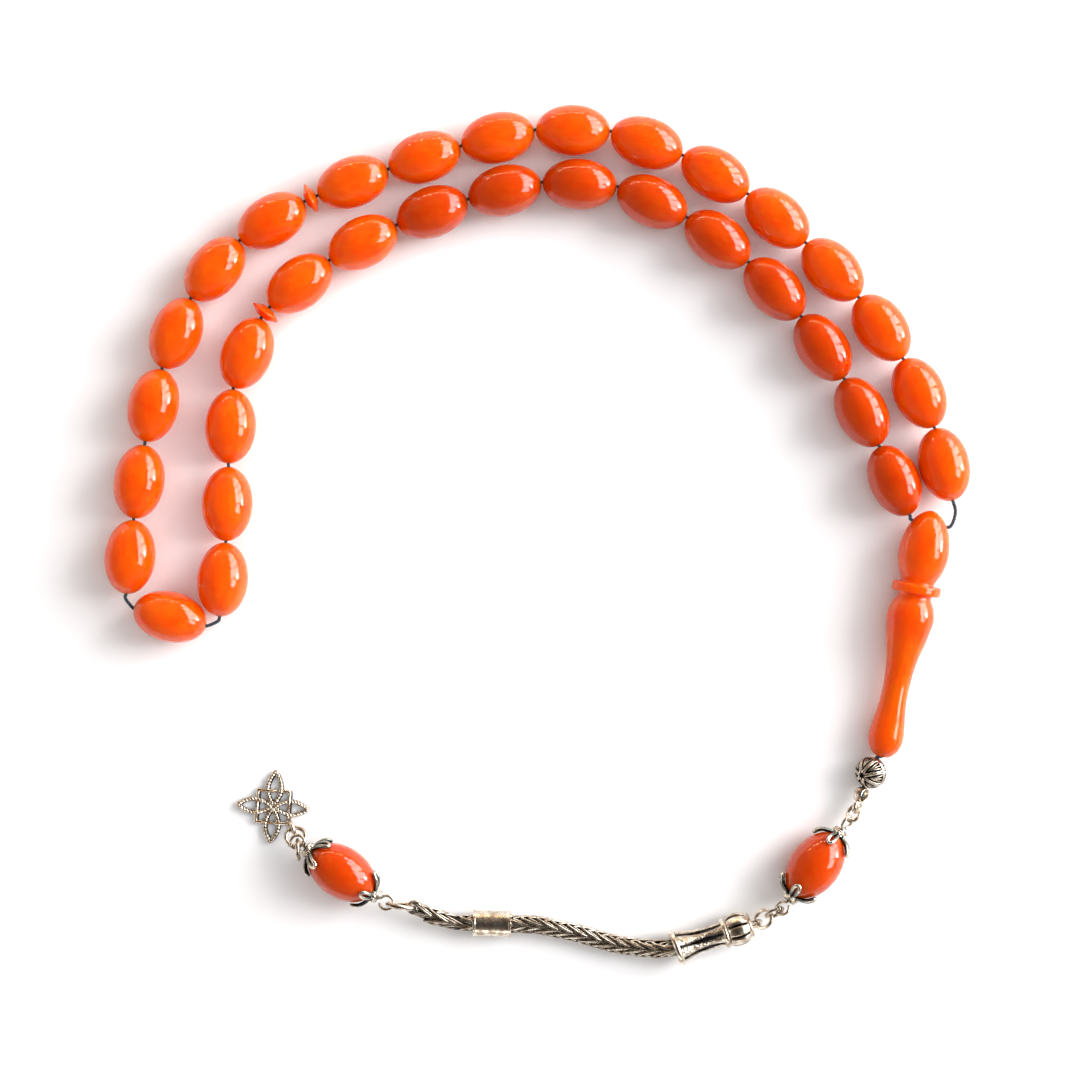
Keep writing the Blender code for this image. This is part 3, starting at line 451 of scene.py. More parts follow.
amberSizes = {"deep": (0.86, 0.09, 0.001), "light": (0.92, 0.14, 0.002), "cloudScale": 160.0,
              "translucent": 1.0, "radius": (1.0, 0.18, 0.04), "depth": 0.0055, "forward": 0.2,
              "roughness": 0.05}
warmSilver = {"bright": (0.95, 0.89, 0.78), "tarnish": (0.42, 0.33, 0.25), "recess": (0.02, 0.018, 0.02),
              "tintFloor": 1.0, "patchScale": 900.0, "rough": (0.16, 0.36), "pitted": False,
              "grainScale": 9000.0, "grain": 0.15}
finishes = {
    "amber": resin("amberResin", amberSizes),
    # a darker copy of the amber: painted shade for the inner row of beads; the tassel beads use it too
    "deepAndShadedAmber": resin("deepAndShadedAmberResin", {**amberSizes, "deep": (0.56, 0.055, 0.001),
                                          "light": (0.66, 0.08, 0.002), "depth": 0.0045}),
    "silver": silver("warmSilver", warmSilver),
    "darkSilver": silver("oxidisedSilver", {**warmSilver, "bright": (0.62, 0.64, 0.62),
                                            "tarnish": (0.05, 0.07, 0.08), "patchScale": 1300.0}),
    # silver that shows the whole mask: dark patina and painted shade where a piece faces away
    "patinaShadeSilver": silver("patinaShadeSilver", {**warmSilver, "tintFloor": 0.0}),
    # the petals' silver: blue-green dark where the mask is low, as patina and painted shade
    "blueSilver": silver("bluePatinaShadeSilver", {**warmSilver, "tintFloor": 0.0, "recess": (0.012, 0.035, 0.042),
                                             "tarnish": (0.5, 0.47, 0.4)}),
    "copperSilver": silver("copperySilver", {**warmSilver, "tintFloor": 0.0, "tarnish": (0.62, 0.36, 0.2)}),
    "granulated": silver("granulatedSilver", {**warmSilver, "pitted": True, "grainScale": 3200.0,
                                              "grain": 0.9, "tintFloor": 0.15}),
    # near-black silver for pieces that stand in for shade: the cores inside the ball and the chain, the
    # crown's liner and the wires under the pendant's wires; the pendant's button uses it too
    "black": silver("nearBlackSilver", {**warmSilver, "bright": (0.05, 0.05, 0.055),
                                        "tarnish": (0.012, 0.012, 0.015), "rough": (0.35, 0.6)}),
    "thread": threadMaterial("navyThread", {"dark": (0.004, 0.012, 0.022), "light": (0.02, 0.07, 0.1),
                                            "fibreScale": 7000.0}),
}
patinaShaded, plain, black = finishes["patinaShadeSilver"], finishes["silver"], finishes["black"]
print("materials:", len(finishes))


beadSizes = {"halfLength": 6.5, "radius": 4.5, "nose": 0.12, "bore": 0.5, "lip": 0.18, "steps": 36,
             "segments": 56}
dividerSizes = {"halfLength": 1.0, "radius": 2.75, "rim": 0.22, "flank": 1.1, "bore": 0.5, "segments": 48}
# the inner row of beads, which gets the darker amber as painted shade
shadedBeads = (25, 26, 27, 28, 29, 30, 31, 32, 33)


def beadOutline(sizes):
    # an oval that meets its bore in a small rounded lip
    half, tip = sizes["halfLength"], sizes["halfLength"] + sizes["nose"]
    outer, steps, bore = [], sizes["steps"], sizes["bore"]
    for i in range(steps + 1):
        x = half * math.cos(math.pi * i / steps)
        outer.append((x, sizes["radius"] * math.sqrt(1 - (x / tip) ** 2)))
    end = tip - 0.5 * sizes["nose"]
    lip = [(-end, bore + sizes["lip"]), (-end + 0.02, bore + 0.04), (-end + 0.15, bore)]
    return outer + lip + [(-x, radius) for x, radius in reversed(lip)]


def dividerOutline(sizes):
    half, rim, radius, flank = sizes["halfLength"], sizes["rim"], sizes["radius"], sizes["flank"]
    side = smooth([(half, flank, 0), (half * 0.62, flank + 0.65, 0), (rim, radius - 0.12, 0)], 4)
    right = [(point.x, point.y) for point in side] + [(rim * 0.5, radius)]
    outer = right + [(-x, r) for x, r in reversed(right)]
    bore = [(half - 0.1, sizes["bore"] + 0.1), (half - 0.3, sizes["bore"])]
    return outer + [(-x, r) for x, r in bore] + bore[::-1]


def beadFrame(number):
    name = f"bead_{number:02d}"
    spin = name + "_spin"
    along = axisOf(spin) if spin in joints else -axisOf(name + "_slide")
    return frameAt(middleOf(name), along)


beadShape = lathe(beadOutline(beadSizes), beadSizes["segments"])
for number in range(1, 34):
    name = f"bead_{number:02d}"
    # the inner row takes the darker amber: painted shade
    finish = finishes["deepAndShadedAmber" if number in shadedBeads else "amber"]
    bead = placed(f"oval_bead_{number:02d}", *beadShape, finish, beadFrame(number))
    rideOn(bead, name, "amber_resin", name)
for side in ("outer", "inner"):
    name = "divider_" + side
    shape = lathe(dividerOutline(dividerSizes), dividerSizes["segments"])
    disc = placed(name + "_disc", *shape, finishes["amber"], frameAt(middleOf(name), axisOf(name + "_spin")),
                  sharp=50)
    rideOn(disc, name, "deep_amber_resin", name)
for label in ("upper", "lower"):
    name = "tassel_bead_" + label
    place = frameAt(placeOf(name + "_spin"), axisOf(name + "_spin"))
    bead = placed("oval_" + name, *beadShape, finishes["deepAndShadedAmber"], place)
    rideOn(bead, name, "amber_resin", name)
print("beads and dividers")


leaderSizes = {
    "top": [(0.0, 0.0), (0.12, 0.55), (0.5, 1.35), (1.5, 2.5), (3.5, 3.68), (6.3, 4.38), (8.3, 4.45),
            (10.6, 3.98), (12.4, 3.15), (13.0, 2.95)],
    "collar": [(13.2, 3.1), (13.3, 4.0), (13.45, 4.28), (13.75, 4.36), (14.55, 4.36), (14.85, 4.28),
               (15.0, 4.0), (15.1, 3.1)],
    "body": [(15.4, 2.93), (16.0, 3.1), (17.2, 3.75), (18.8, 4.16), (20.2, 4.14), (23.2, 3.6), (27.2, 2.72),
             (31.1, 2.36), (34.0, 2.34), (36.5, 2.56), (39.0, 2.92), (41.2, 3.1), (43.1, 2.68),
             (44.3, 1.75), (44.75, 0.95)],
    "bore": 0.75, "holeAt": 2.5, "dip": 0.0441, "segments": 64}


def leaderOutline(sizes):
    run = []
    for part, steps in (("top", 5), ("collar", 2), ("body", 5)):
        run += [(p.x, p.y) for p in smooth([(x, r, 0) for x, r in sizes[part]], steps)]
    bore, end = sizes["bore"], sizes["body"][-1][0]
    inside = [(end - 0.15, bore), (sizes["holeAt"], bore), (sizes["holeAt"], 0.0)]
    return [(x - sizes["holeAt"], max(r, 0.0)) for x, r in run + inside]


crossHole, crossSide = placeOf("leader_lift"), axisOf("leader_lift")
leaderWay = crossSide.cross(up)
if leaderWay.dot(middleOf("leader") - crossHole) < 0:
    leaderWay = -leaderWay
leaderWay.z = -leaderSizes["dip"]
leaderFrame = frameAt(crossHole, leaderWay.normalized())
leader = placed("leader_bead", *lathe(leaderOutline(leaderSizes), leaderSizes["segments"]),
                finishes["amber"], leaderFrame, sharp=55)
rideOn(leader, "leader", "amber_resin", "leader")
print("leader")


threadSizes = {"strands": 3, "strandRadius": 0.17, "reach": 0.18, "lay": 1.5, "step": 0.3, "sides": 7,
               "mouth": 3.15, "sag": 0.9}
ropeOfThread = {"Strands": threadSizes["strands"], "Strand Radius": threadSizes["strandRadius"] * mm,
                "Reach": threadSizes["reach"] * mm, "Lay": threadSizes["lay"] * mm,
                "Step": threadSizes["step"] * mm, "Sides": threadSizes["sides"]}


def endsOf(name):
    if name.startswith("divider"):
        place, along, half = middleOf(name), axisOf(name + "_spin"), dividerSizes["halfLength"]
    else:
        turned = beadFrame(int(name[-2:]))
        place, along, half = turned.translation, turned.col[0].to_3d(), beadSizes["halfLength"]
    return [place - along * half, place + along * half]


def rowOf(names):
    return [spot for name in names for spot in endsOf(name)]


outerRow = [f"bead_{n:02d}" for n in range(1, 12)] + ["divider_outer"]
outerRow += [f"bead_{n:02d}" for n in range(12, 18)]
innerRow = [f"bead_{n:02d}" for n in range(33, 22, -1)] + ["divider_inner"]
innerRow += [f"bead_{n:02d}" for n in range(22, 18, -1)]
outerRoot, outerTip = rowOf(outerRow[:16]), rowOf(outerRow[16:])
innerRoot, innerTip = rowOf(innerRow[:14]), rowOf(innerRow[14:])


def towards(a, b, share):
    return a + (b - a) * share


bulbRight = crossHole + crossSide * (threadSizes["mouth"] - 0.5)
bulbLeft = crossHole - crossSide * (threadSizes["mouth"] - 0.5)
firstEnd, lastEnd = outerRoot[0], innerRoot[0]
rightBend = smooth([firstEnd, firstEnd + (firstEnd - outerRoot[1]).normalized() * 2.2,
                    bulbRight + crossSide * 1.3 + Vector((0, 0.5, 0)), bulbRight], 6)
leftBend = smooth([bulbLeft, bulbLeft - crossSide * 0.8 + Vector((0, 0.3, 0)),
                   lastEnd + (lastEnd - innerRoot[1]).normalized() * 0.5, lastEnd], 5)
foldOuter, foldInner = towards(outerRoot[-1], outerTip[0], 0.45), towards(innerRoot[-1], innerTip[0], 0.45)
rootPath = [foldOuter] + outerRoot[:0:-1] + rightBend + leftBend + innerRoot[1:] + [foldInner]
rootThread = grow("strand_thread", "rope", ropeOfThread, finishes["thread"], rootPath)
rideOn(rootThread, "strand", "navy_thread", "cord_strand")
left, right = endsOf("bead_18")
beyond = (right - left).normalized().cross(up)
if beyond.dot(left - outerTip[-1]) < 0:
    beyond = -beyond
nose = (right - left) * 0.03
firstTurn = smooth([outerTip[-1], outerTip[-1] + beyond * threadSizes["sag"], left - nose, left], 6)
secondTurn = smooth([right, right + nose, innerTip[-1] + beyond * threadSizes["sag"], innerTip[-1]], 6)
tipStart, tipEnd = towards(outerRoot[-1], outerTip[0], 0.55), towards(innerRoot[-1], innerTip[0], 0.55)
tipPath = [tipStart] + outerTip[:-1] + firstTurn + secondTurn + innerTip[-2::-1] + [tipEnd]
tipThread = grow("tip_thread", "rope", ropeOfThread, finishes["thread"], tipPath)
rideOn(tipThread, "tip", "navy_thread", "cord_tip")
frame["nodes"]["cord_tail"].data.materials.clear()
frame["nodes"]["cord_tail"].data.materials.append(finishes["thread"])
print("thread")


ballSizes = {"radius": 2.9, "core": 2.3, "rib": 0.2, "vein": 0.13, "rim": 0.3, "sectors": 7,
             "pole": (-0.66, -0.12, 0.74)}


def onBall(tilt, turn, radius):
    # tilt is from the pole, which is +X
    return Vector((math.cos(tilt), math.sin(tilt) * math.cos(turn), math.sin(tilt) * math.sin(turn))) * radius


def sectorShape(sizes):
    # one leaf: a loop with a rounded point by the pole, and three veins inside it
    reach, half = sizes["radius"] - sizes["rib"], math.pi / sizes["sectors"]
    side = [(0.2, 0.0), (0.27, 0.5), (0.5, 0.78), (0.8, 0.86), (1.15, 0.86), (1.4, 0.84), (1.5, 0.7),
            (1.52, 0.0)]
    outline = side + [(tilt, -share) for tilt, share in side[-2:0:-1]]
    loop = smooth([onBall(tilt, half * share, reach) for tilt, share in outline + outline[:1]], 3)[:-1]
    pieces = [wire("leaf", loop, sizes["rib"], patinaShaded, 8, closed=True)]
    for spread, start in ((-0.5, 0.68), (0.0, 0.56), (0.5, 0.68)):
        path = []
        for i in range(8):
            tilt = start + (1.45 - start) * i / 7
            path.append(onBall(tilt, half * spread * (0.35 + 0.65 * i / 7), reach - 0.02))
        pieces.append(wire("vein", path, sizes["vein"], patinaShaded, 6))
    return joined("sector", pieces)


ballMiddle = placeOf("filigree_ball_spin")
ballFrame = frameAt(ballMiddle, Vector(ballSizes["pole"]).normalized())
sector = sectorShape(ballSizes)
halves = []
for flip in (0.0, math.pi):
    place = ballFrame @ Matrix.Rotation(flip, 4, "Z")
    halves.append(grow("half_ball", "around", {"Shape": sector, "Count": ballSizes["sectors"], "First": 0.2},
                       patinaShaded, place=place))
rimRadius = ballSizes["radius"] - ballSizes["rim"]
rimPath = [onBall(math.pi / 2, math.tau * i / 48, rimRadius) for i in range(48)]
halves.append(wire("rim", rimPath, ballSizes["rim"], patinaShaded, place=ballFrame, closed=True))
# the ball's leaves and rim go dark where they face its middle: patina in the hollows and painted shade between
# the leaves
for piece in halves:
    markPatinaAndShade(piece, fromPoint(ballMiddle), 0.6, 0.95)
# a black ball inside the openwork: painted shade, so that the gaps between the leaves read dark
core = [(ballSizes["core"] * math.cos(math.pi * i / 24), ballSizes["core"] * math.sin(math.pi * i / 24))
        for i in range(1, 24)]
core = [(ballSizes["core"], 0.0)] + core + [(-ballSizes["core"], 0.0)]
halves.append(placed("core", *lathe(core, 32), black, ballFrame))
bpy.data.objects.remove(sector)
rideOn(joined("openwork_ball", halves), "filigree_ball", "oxidised_silver", "filigree_ball")
print("filigree ball")


coverSizes = {"shell": 1.5, "wall": 0.3, "ring": 0.42, "open": 118, "way": (-0.74, 0.28, -0.55)}
ringWires = {"link_upper": 0.32, "link_lower": 0.33, "crown_ring": 0.35, "end_ring": 0.46, "jump_ring": 0.4,
             "pendant_ring": 0.38}
knot = placeOf("cover_swing")
coverPoints = pointsOf("knot_cover")
far = coverPoints[np.linalg.norm(coverPoints - np.array(knot), axis=1) > 1.5]
ringPlace, ringHalves = flatFrame(far)
outer, inner = coverSizes["shell"], coverSizes["shell"] - coverSizes["wall"]
turns = [math.radians(coverSizes["open"] * i / 12) for i in range(1, 13)]
cup = [(outer, 0.0)] + [(outer * math.cos(a), outer * math.sin(a)) for a in turns]
cup += [(inner * math.cos(a), inner * math.sin(a)) for a in reversed(turns)] + [(inner, 0.0)]
cupPiece = placed("cup", *lathe(cup, 28), plain,
                  frameAt(knot, Vector(coverSizes["way"]).normalized()))
reach = ringHalves[0] - coverSizes["ring"]
hook = wire("hook", oval(reach, reach), coverSizes["ring"], plain, closed=True, place=ringPlace)
rideOn(joined("knot_clam", [cupPiece, hook]), "knot_cover", "oxidised_silver", "knot_cover")


def plainRing(node):
    place, halves = flatFrame(pointsOf(node))
    radius = ringWires[node]
    cadWire = halves[2] / math.sin(math.radians(60))
    piece = wire(node + "_wire", oval(halves[0] - cadWire, halves[1] - cadWire), radius,
                 patinaShaded, 12, closed=True, place=place)
    # the wire's flanks go dark: patina and painted shade
    return markPatinaAndShade(piece, fromFlat(place.col[2].to_3d()), -0.1, 0.5), place


for node in ("link_upper", "crown_ring", "end_ring", "jump_ring", "pendant_ring"):
    rideOn(plainRing(node)[0], node, "oxidised_silver", node)
wrapSizes = {"turns": 5, "half": 50, "long": 1.45, "wide": 1.1, "reach": 0.46, "wire": 0.17, "steps": 59}
lowerLink, lowerPlace = plainRing("link_lower")
wraps = []
for i in range(wrapSizes["steps"] + 1):
    share = i / wrapSizes["steps"]
    turn = math.radians(wrapSizes["half"] * (2 * share - 1))
    coil = math.tau * wrapSizes["turns"] * share
    around = Vector((wrapSizes["long"] * math.cos(turn), wrapSizes["wide"] * math.sin(turn), 0))
    out = Vector((math.cos(turn), math.sin(turn), 0))
    wraps.append(around + wrapSizes["reach"] * (out * math.cos(coil) + up * math.sin(coil)))
wrap = wire("wrap", wraps, wrapSizes["wire"], patinaShaded, 8, place=lowerPlace)
wrapped = [lowerPlace @ Vector(point) for point in oval(wrapSizes["long"], wrapSizes["wide"])]
# the wrap goes dark where it faces the link: patina and painted shade
markPatinaAndShade(wrap, fromPath(wrapped), 0.1, 0.7)
rideOn(joined("wrapped_link", [lowerLink, wrap]), "link_lower", "oxidised_silver", "link_lower")
print("rings")

pinSizes = {"reach": 9.57, "eye": 1.25, "wire": 0.28}
capSizes = {"start": 6.8, "neck": 1.15, "coil": 0.28, "coilReach": 1.06, "coilTurns": 2.2, "bore": 0.45,
            "petals": 5, "petalWire": 0.36, "petalWidth": 1.4, "root": 7.15, "tip": 4.7, "bulge": 0.25,
            "neckRadius": 1.2,
            "turns": {"upper_near": 74, "upper_far": 100, "lower_near": 100, "lower_far": 70}}


def eyeTurn(label, side, place, along):
    # normal of the eye on one end of a pin, from its solid
    points = pointsOf("eye_pin_" + label)
    ahead = (points - np.array(place)) @ np.array(along) * side
    return flatFrame(points[ahead > pinSizes["reach"] - 1.3])[0].col[2].to_3d()


def pinPath(label, place, along):
    sizes, path = pinSizes, []
    for side in (-1, 1):
        normal = eyeTurn(label, side, place, along)
        across = normal.cross(along).normalized()
        outwards, eye = along * side, sizes["eye"]
        spots = []
        for degrees in range(35, 356, 16):
            a = math.radians(degrees)
            spots.append(outwards * (sizes["reach"] - eye * math.cos(a)) + across * eye * math.sin(a))
        shank = [outwards * (sizes["reach"] - eye - 0.35), outwards * 3.0]
        run = spots + shank
        path += run if side < 0 else run[::-1]
    return [place + spot for spot in path]


def beadRadius(x):
    tip = beadSizes["halfLength"] + beadSizes["nose"]
    return beadSizes["radius"] * math.sqrt(max(0, 1 - (x / tip) ** 2))


def petalPath(sizes):
    # a loop that leaves the collar and lies just over the bead
    path = []
    for i in range(28):
        a = math.tau * i / 28
        share = (1 - math.cos(a)) / 2
        x = sizes["root"] + (sizes["tip"] - sizes["root"]) * share
        spread = sizes["petalWidth"] / 2 * math.sin(a) * (0.45 + 0.55 * share)
        lift = sizes["petalWire"] + 0.14 + sizes["bulge"] * math.sin(math.pi * share)
        reach = max(beadRadius(x) + lift * 1.25, sizes["neckRadius"])
        path.append(Vector((x, math.sqrt(reach**2 - spread**2), spread)))
    return path


petal = wire("petal", petalPath(capSizes), capSizes["petalWire"], finishes["blueSilver"], 8, closed=True)
for label in ("upper", "lower"):
    joint = f"tassel_bead_{label}_spin"
    place, along = placeOf(joint), axisOf(joint)
    pin = wire("wire_pin", pinPath(label, place, along), pinSizes["wire"], plain)
    rideOn(pin, "pin_" + label, "oxidised_silver", "eye_pin_" + label)
    pin.name = "wire_pin_" + label
    for end, side in (("near", -1), ("far", 1)):
        seat = frameAt(place, along * side)
        turned = {"Shape": petal, "Count": capSizes["petals"],
                  "First": math.radians(capSizes["turns"][f"{label}_{end}"])}
        petals = grow("petals", "around", turned, finishes["blueSilver"], place=seat)
        # the petals go dark where they face the bead: patina and painted shade
        markPatinaAndShade(petals, fromAxis(seat), 0.25, 0.8)
        start, top, bore = capSizes["start"], capSizes["start"] + capSizes["neck"], capSizes["bore"]
        coils, reach = [], capSizes["coilReach"]
        for i in range(66):
            a = math.tau * capSizes["coilTurns"] * i / 65
            coils.append((start + 0.35 + 0.605 * i / 65, reach * math.cos(a), reach * math.sin(a)))
        collar = wire("collar", coils, capSizes["coil"], patinaShaded, 8, place=seat)
        # the collar goes dark where it faces the pin: patina and painted shade
        markPatinaAndShade(collar, fromAxis(seat), 0.3, 0.85)
        seatShape = [(top, 0.95), (start + 0.3, 1.15), (start, 1.25), (start, bore), (top, bore)]
        base = placed("base", *lathe(seatShape, 24), finishes["darkSilver"], seat, sharp=40)
        node = f"cap_{label}_{end}"
        rideOn(joined(f"petal_{node}", [petals, collar, base]), "pin_" + label, "oxidised_silver", node)
bpy.data.objects.remove(petal)
print("pins and caps")


crownSizes = {
    "lead": 0.9, "lobes": 8, "groove": 0.2,
    "dome": [(0.0, 1.9), (0.1, 2.25), (0.35, 2.42), (0.6, 2.3), (0.8, 2.4), (1.7, 2.85), (2.9, 2.98),
             (3.9, 2.72), (4.4, 2.4)],
    "collar": (4.95, 2.3, 0.441, 0.42), "rim": (0.0, 2.95, 0.5, 0.38), "rimAt": 13.95, "rimLean": 0.1,
    "liner": [(4.6, 1.75), (9.2, 1.75), (9.2, 1.5), (4.6, 1.5)],
    "struts": 7, "strutThick": 0.5,
    "skirt": [(5.4, 2.3), (6.5, 2.1), (8.5, 2.05), (10.8, 2.3), (12.6, 2.75), (13.6, 3.0)],
    "loop": 0.95, "loopWire": 0.3}
hookSpot, mouth = placeOf("crown_swing"), placeOf("chain_fore_bend")
crownWay = (mouth - hookSpot).normalized()
crownFrame = frameAt(hookSpot, crownWay) @ Matrix.Translation((crownSizes["lead"], 0, 0))


def ridged(x, angle):
    grooveAt = abs(math.cos(crownSizes["lobes"] / 2 * angle))
    onLobes = min(max((x - 0.6) / 0.5, 0), 1) * min(max((4.4 - x) / 0.3, 0), 1)
    return 1 - onLobes * crownSizes["groove"] * math.exp(-(grooveAt / 0.3) ** 2)


def ringOutline(sizes):
    # a thick ring: its place along the axis, its radius, and its half sizes along and across
    at, radius, along, across = sizes
    turns = [math.tau * i / 14 for i in range(14)]
    return [(at + along * math.cos(a), radius + across * math.sin(a)) for a in turns]


domeLine = [(p.x, p.y) for p in smooth([(x, r, 0) for x, r in crownSizes["dome"]], 5)]
domeLine = [(0.0, 0.0)] + domeLine + [(4.4, 0.0)]
domePoints, domeFaces = lathe(domeLine, 128, lobe=ridged)
# the dome's mask is dark in the grooves between its lobes: patina and painted shade
domePatinaShade = []
for x, y, z in domePoints:
    deep = 1 - ridged(x, math.atan2(z, y))
    domePatinaShade.append(min(max(1 - deep / crownSizes["groove"] * 1.6, 0), 1))
parts = [placed("dome", domePoints, domeFaces, patinaShaded, crownFrame, patinaShade=domePatinaShade)]
parts.append(placed("collar", *lathe(ringOutline(crownSizes["collar"]), 48), plain, crownFrame))
rimPlace = crownFrame @ Matrix.Translation((crownSizes["rimAt"], 0, 0))
rimPlace = rimPlace @ Matrix.Rotation(crownSizes["rimLean"], 4, "Z")
parts.append(placed("endRing", *lathe(ringOutline(crownSizes["rim"]), 56), plain, rimPlace))


def strutShape(sizes):
    # a band that is wide at the collar, narrow at the waist and wide again at the ring
    line = smooth([(x, r, 0) for x, r in sizes["skirt"]], 5)
    pitch = math.tau / sizes["struts"]
    first, last = line[0].x, line[-1].x
    points, faces, patinaShade, across = [], [], [], 9
    for spot in line:
        share = (spot.x - first) / (last - first)
        half = pitch * (0.47 - 0.17 * math.sin(math.pi * min(share * 1.25, 1)) - 0.05 * share)
        for layer in (0.0, -sizes["strutThick"]):
            for i in range(across):
                a = half * (2 * i / (across - 1) - 1)
                edge = abs(2 * i / (across - 1) - 1)
                reach = spot.y + layer - (0.16 * edge**3 if layer == 0 else 0)
                points.append((spot.x, reach * math.cos(a), reach * math.sin(a)))
                # the mask darkens the band towards its edges and all over its inner face: patina and painted
                # shade in the slots
                patinaShade.append(1 - edge**4 if layer == 0 else 0.0)
    row = 2 * across
    for j in range(len(line) - 1):
        a, b = j * row, (j + 1) * row
        for i in range(across - 1):
            faces.append((a + i, a + i + 1, b + i + 1, b + i))
            faces.append((a + across + i + 1, a + across + i, b + across + i, b + across + i + 1))
        faces.append((a, b, b + across, a + across))
        faces.append((a + across - 1, a + row - 1, b + row - 1, b + across - 1))
    for base, order in ((0, 1), ((len(line) - 1) * row, -1)):
        for i in range(base, base + across - 1):
            faces.append((i, i + across, i + across + 1, i + 1)[::order])
    return points, facingOut(points, faces), patinaShade


strutPoints, strutFaces, strutPatinaShade = strutShape(crownSizes)
strut = placed("strut", strutPoints, strutFaces, finishes["granulated"], patinaShade=strutPatinaShade, sharp=50)
parts.append(grow("struts", "around", {"Shape": strut, "Count": crownSizes["struts"], "First": 1.25},
                  finishes["granulated"], place=crownFrame))
bpy.data.objects.remove(strut)
# a black sleeve inside the struts: painted shade, so that the slots between them read dark
parts.append(placed("liner", *lathe(crownSizes["liner"], 32), black, crownFrame, sharp=40))
loopReach = crownSizes["loop"]
loopPlace = frameAt(hookSpot, crownWay, axisOf("crown_swing")) @ Matrix.Translation((0.05, 0, 0))
loop = wire("loop", oval(loopReach, loopReach), crownSizes["loopWire"], patinaShaded, closed=True,
            place=loopPlace)
# the loop's flanks go dark: patina and painted shade
parts.append(markPatinaAndShade(loop, fromFlat(loopPlace.col[2].to_3d()), -0.1, 0.5))
rideOn(joined("ribbed_crown", parts), "crown", "oxidised_silver", "crown")
print("crown")


chainSizes = {"radius": 1.7, "wire": 0.31, "pitch": 1.3, "linkLength": 4.6, "rows": 3, "sunk": 0.16,
              "first": math.radians(30), "core": 0.95, "tuck": 0.9, "taper": 1.5, "gap": 0.5,
              "lie": [(181.0, 5.0), (172.0, 6.0), (164.5, 6.5), (167.5, 7.5), (178.5, 12.6)],
              "heights": [-0.9, -1.25, -1.2, -0.95, -0.95],
              "endLie": [(164.0, 3.2), (156.0, 3.2)], "endRise": 7.0, "loop": 1.05, "loopWire": 0.33}


def linkShape(sizes):
    # one half of a bent link, lying over a third of the chain's round surface
    path, reach = [], sizes["radius"] - sizes["wire"]
    for i in range(13):
        t = 2 * i / 12 - 1
        a = math.radians(66) * t
        lift = reach * (1 - 0.1 * abs(t) ** 3)
        path.append((sizes["linkLength"] * (0.5 - abs(t) ** 1.5), lift * math.cos(a), lift * math.sin(a)))
    return wire("link", path, sizes["wire"], patinaShaded, 6)


link = linkShape(chainSizes)
chainRun = {"Link": link, "Pitch": chainSizes["pitch"] * mm, "Rows": chainSizes["rows"],
            "First": chainSizes["first"], "Sunk": chainSizes["sunk"]}
spot, line = mouth.copy(), [mouth.copy()]
for (towardsWay, length), height in zip(chainSizes["lie"], chainSizes["heights"]):
    spot = spot + heading(towardsWay) * length
    spot.z = mouth.z + height
    line.append(spot)
tucked = mouth - crownWay * chainSizes["tuck"]
straight = (line[-1] - line[-2]).normalized()
forePath = smooth([tucked, *line[:-1]], 4) + [line[-1] + straight * 0.2]
foreThick = [0.75, 0.8, 0.86, 0.93] + [1.0] * (len(forePath) - 5) + [0.9]
foreLinks = grow("links", "chain", chainRun, patinaShaded, forePath, thick=foreThick)
# the links go dark where they face the chain's middle: patina and painted shade in the gaps
markPatinaAndShade(foreLinks, fromPath(forePath), 0.55, 0.95)
# a black tube inside the links: painted shade, so that the gaps between them read dark
foreShadeCore = wire("core", forePath, chainSizes["core"], black, 12)
rideOn(joined("foxtail_fore", [foreLinks, foreShadeCore]), "chain_fore", "oxidised_silver", "chain_fore")
aftStart = line[-1] + straight * (chainSizes["taper"] + chainSizes["gap"])
aftLine = [aftStart]
for towardsWay, length in chainSizes["endLie"]:
    aftLine.append(aftLine[-1] + heading(towardsWay, chainSizes["endRise"]) * length)
aftPath = smooth(aftLine, 5)
aftThick = [0.94 - 0.4 * max(0, i / (len(aftPath) - 1) - 0.5) for i in range(len(aftPath))]
aftThick[:3] = [0.8, 0.86, 0.91]
aftLinks = grow("links", "chain", chainRun, patinaShaded, aftPath, thick=aftThick)
# the links go dark where they face the chain's middle: patina and painted shade in the gaps
markPatinaAndShade(aftLinks, fromPath(aftPath), 0.55, 0.95)
# a black tube inside the links: painted shade, so that the gaps between them read dark
aftShadeCore = wire("core", aftPath, chainSizes["core"] * 0.9, black, 12)
lastWay = (aftLine[-1] - aftLine[-2]).normalized()
loopSeat = frameAt(aftLine[-1] + lastWay * (chainSizes["loop"] + 0.55), lastWay)
endLoop = wire("loop", oval(chainSizes["loop"], chainSizes["loop"]), chainSizes["loopWire"], plain,
               closed=True, place=loopSeat)
rideOn(joined("foxtail_aft", [aftLinks, aftShadeCore, endLoop]), "chain_aft", "oxidised_silver", "chain_aft")
bpy.data.objects.remove(link)
barrelSizes = {"half": 3.4, "radius": 2.3, "rim": 2.44, "rimWidth": 0.4, "inside": 2.02, "round": 0.07}
half, rim, body = barrelSizes["half"], barrelSizes["rim"], barrelSizes["radius"]
soft, width = barrelSizes["round"], barrelSizes["rimWidth"]
right = [(half, rim - soft), (half - soft, rim), (half - width + soft, rim), (half - width, rim - soft),
         (half - width - soft, body)]
barrelLine = right + [(-x, r) for x, r in reversed(right)]
barrelLine += [(-half, barrelSizes["inside"]), (half, barrelSizes["inside"])]
barrel = placed("barrel_sleeve", *lathe(barrelLine, 64), plain,
                frameAt(middleOf("slide_barrel"), axisOf("barrel_slide")), sharp=35)
rideOn(barrel, "slide_barrel", "oxidised_silver", "slide_barrel")
print("chain")


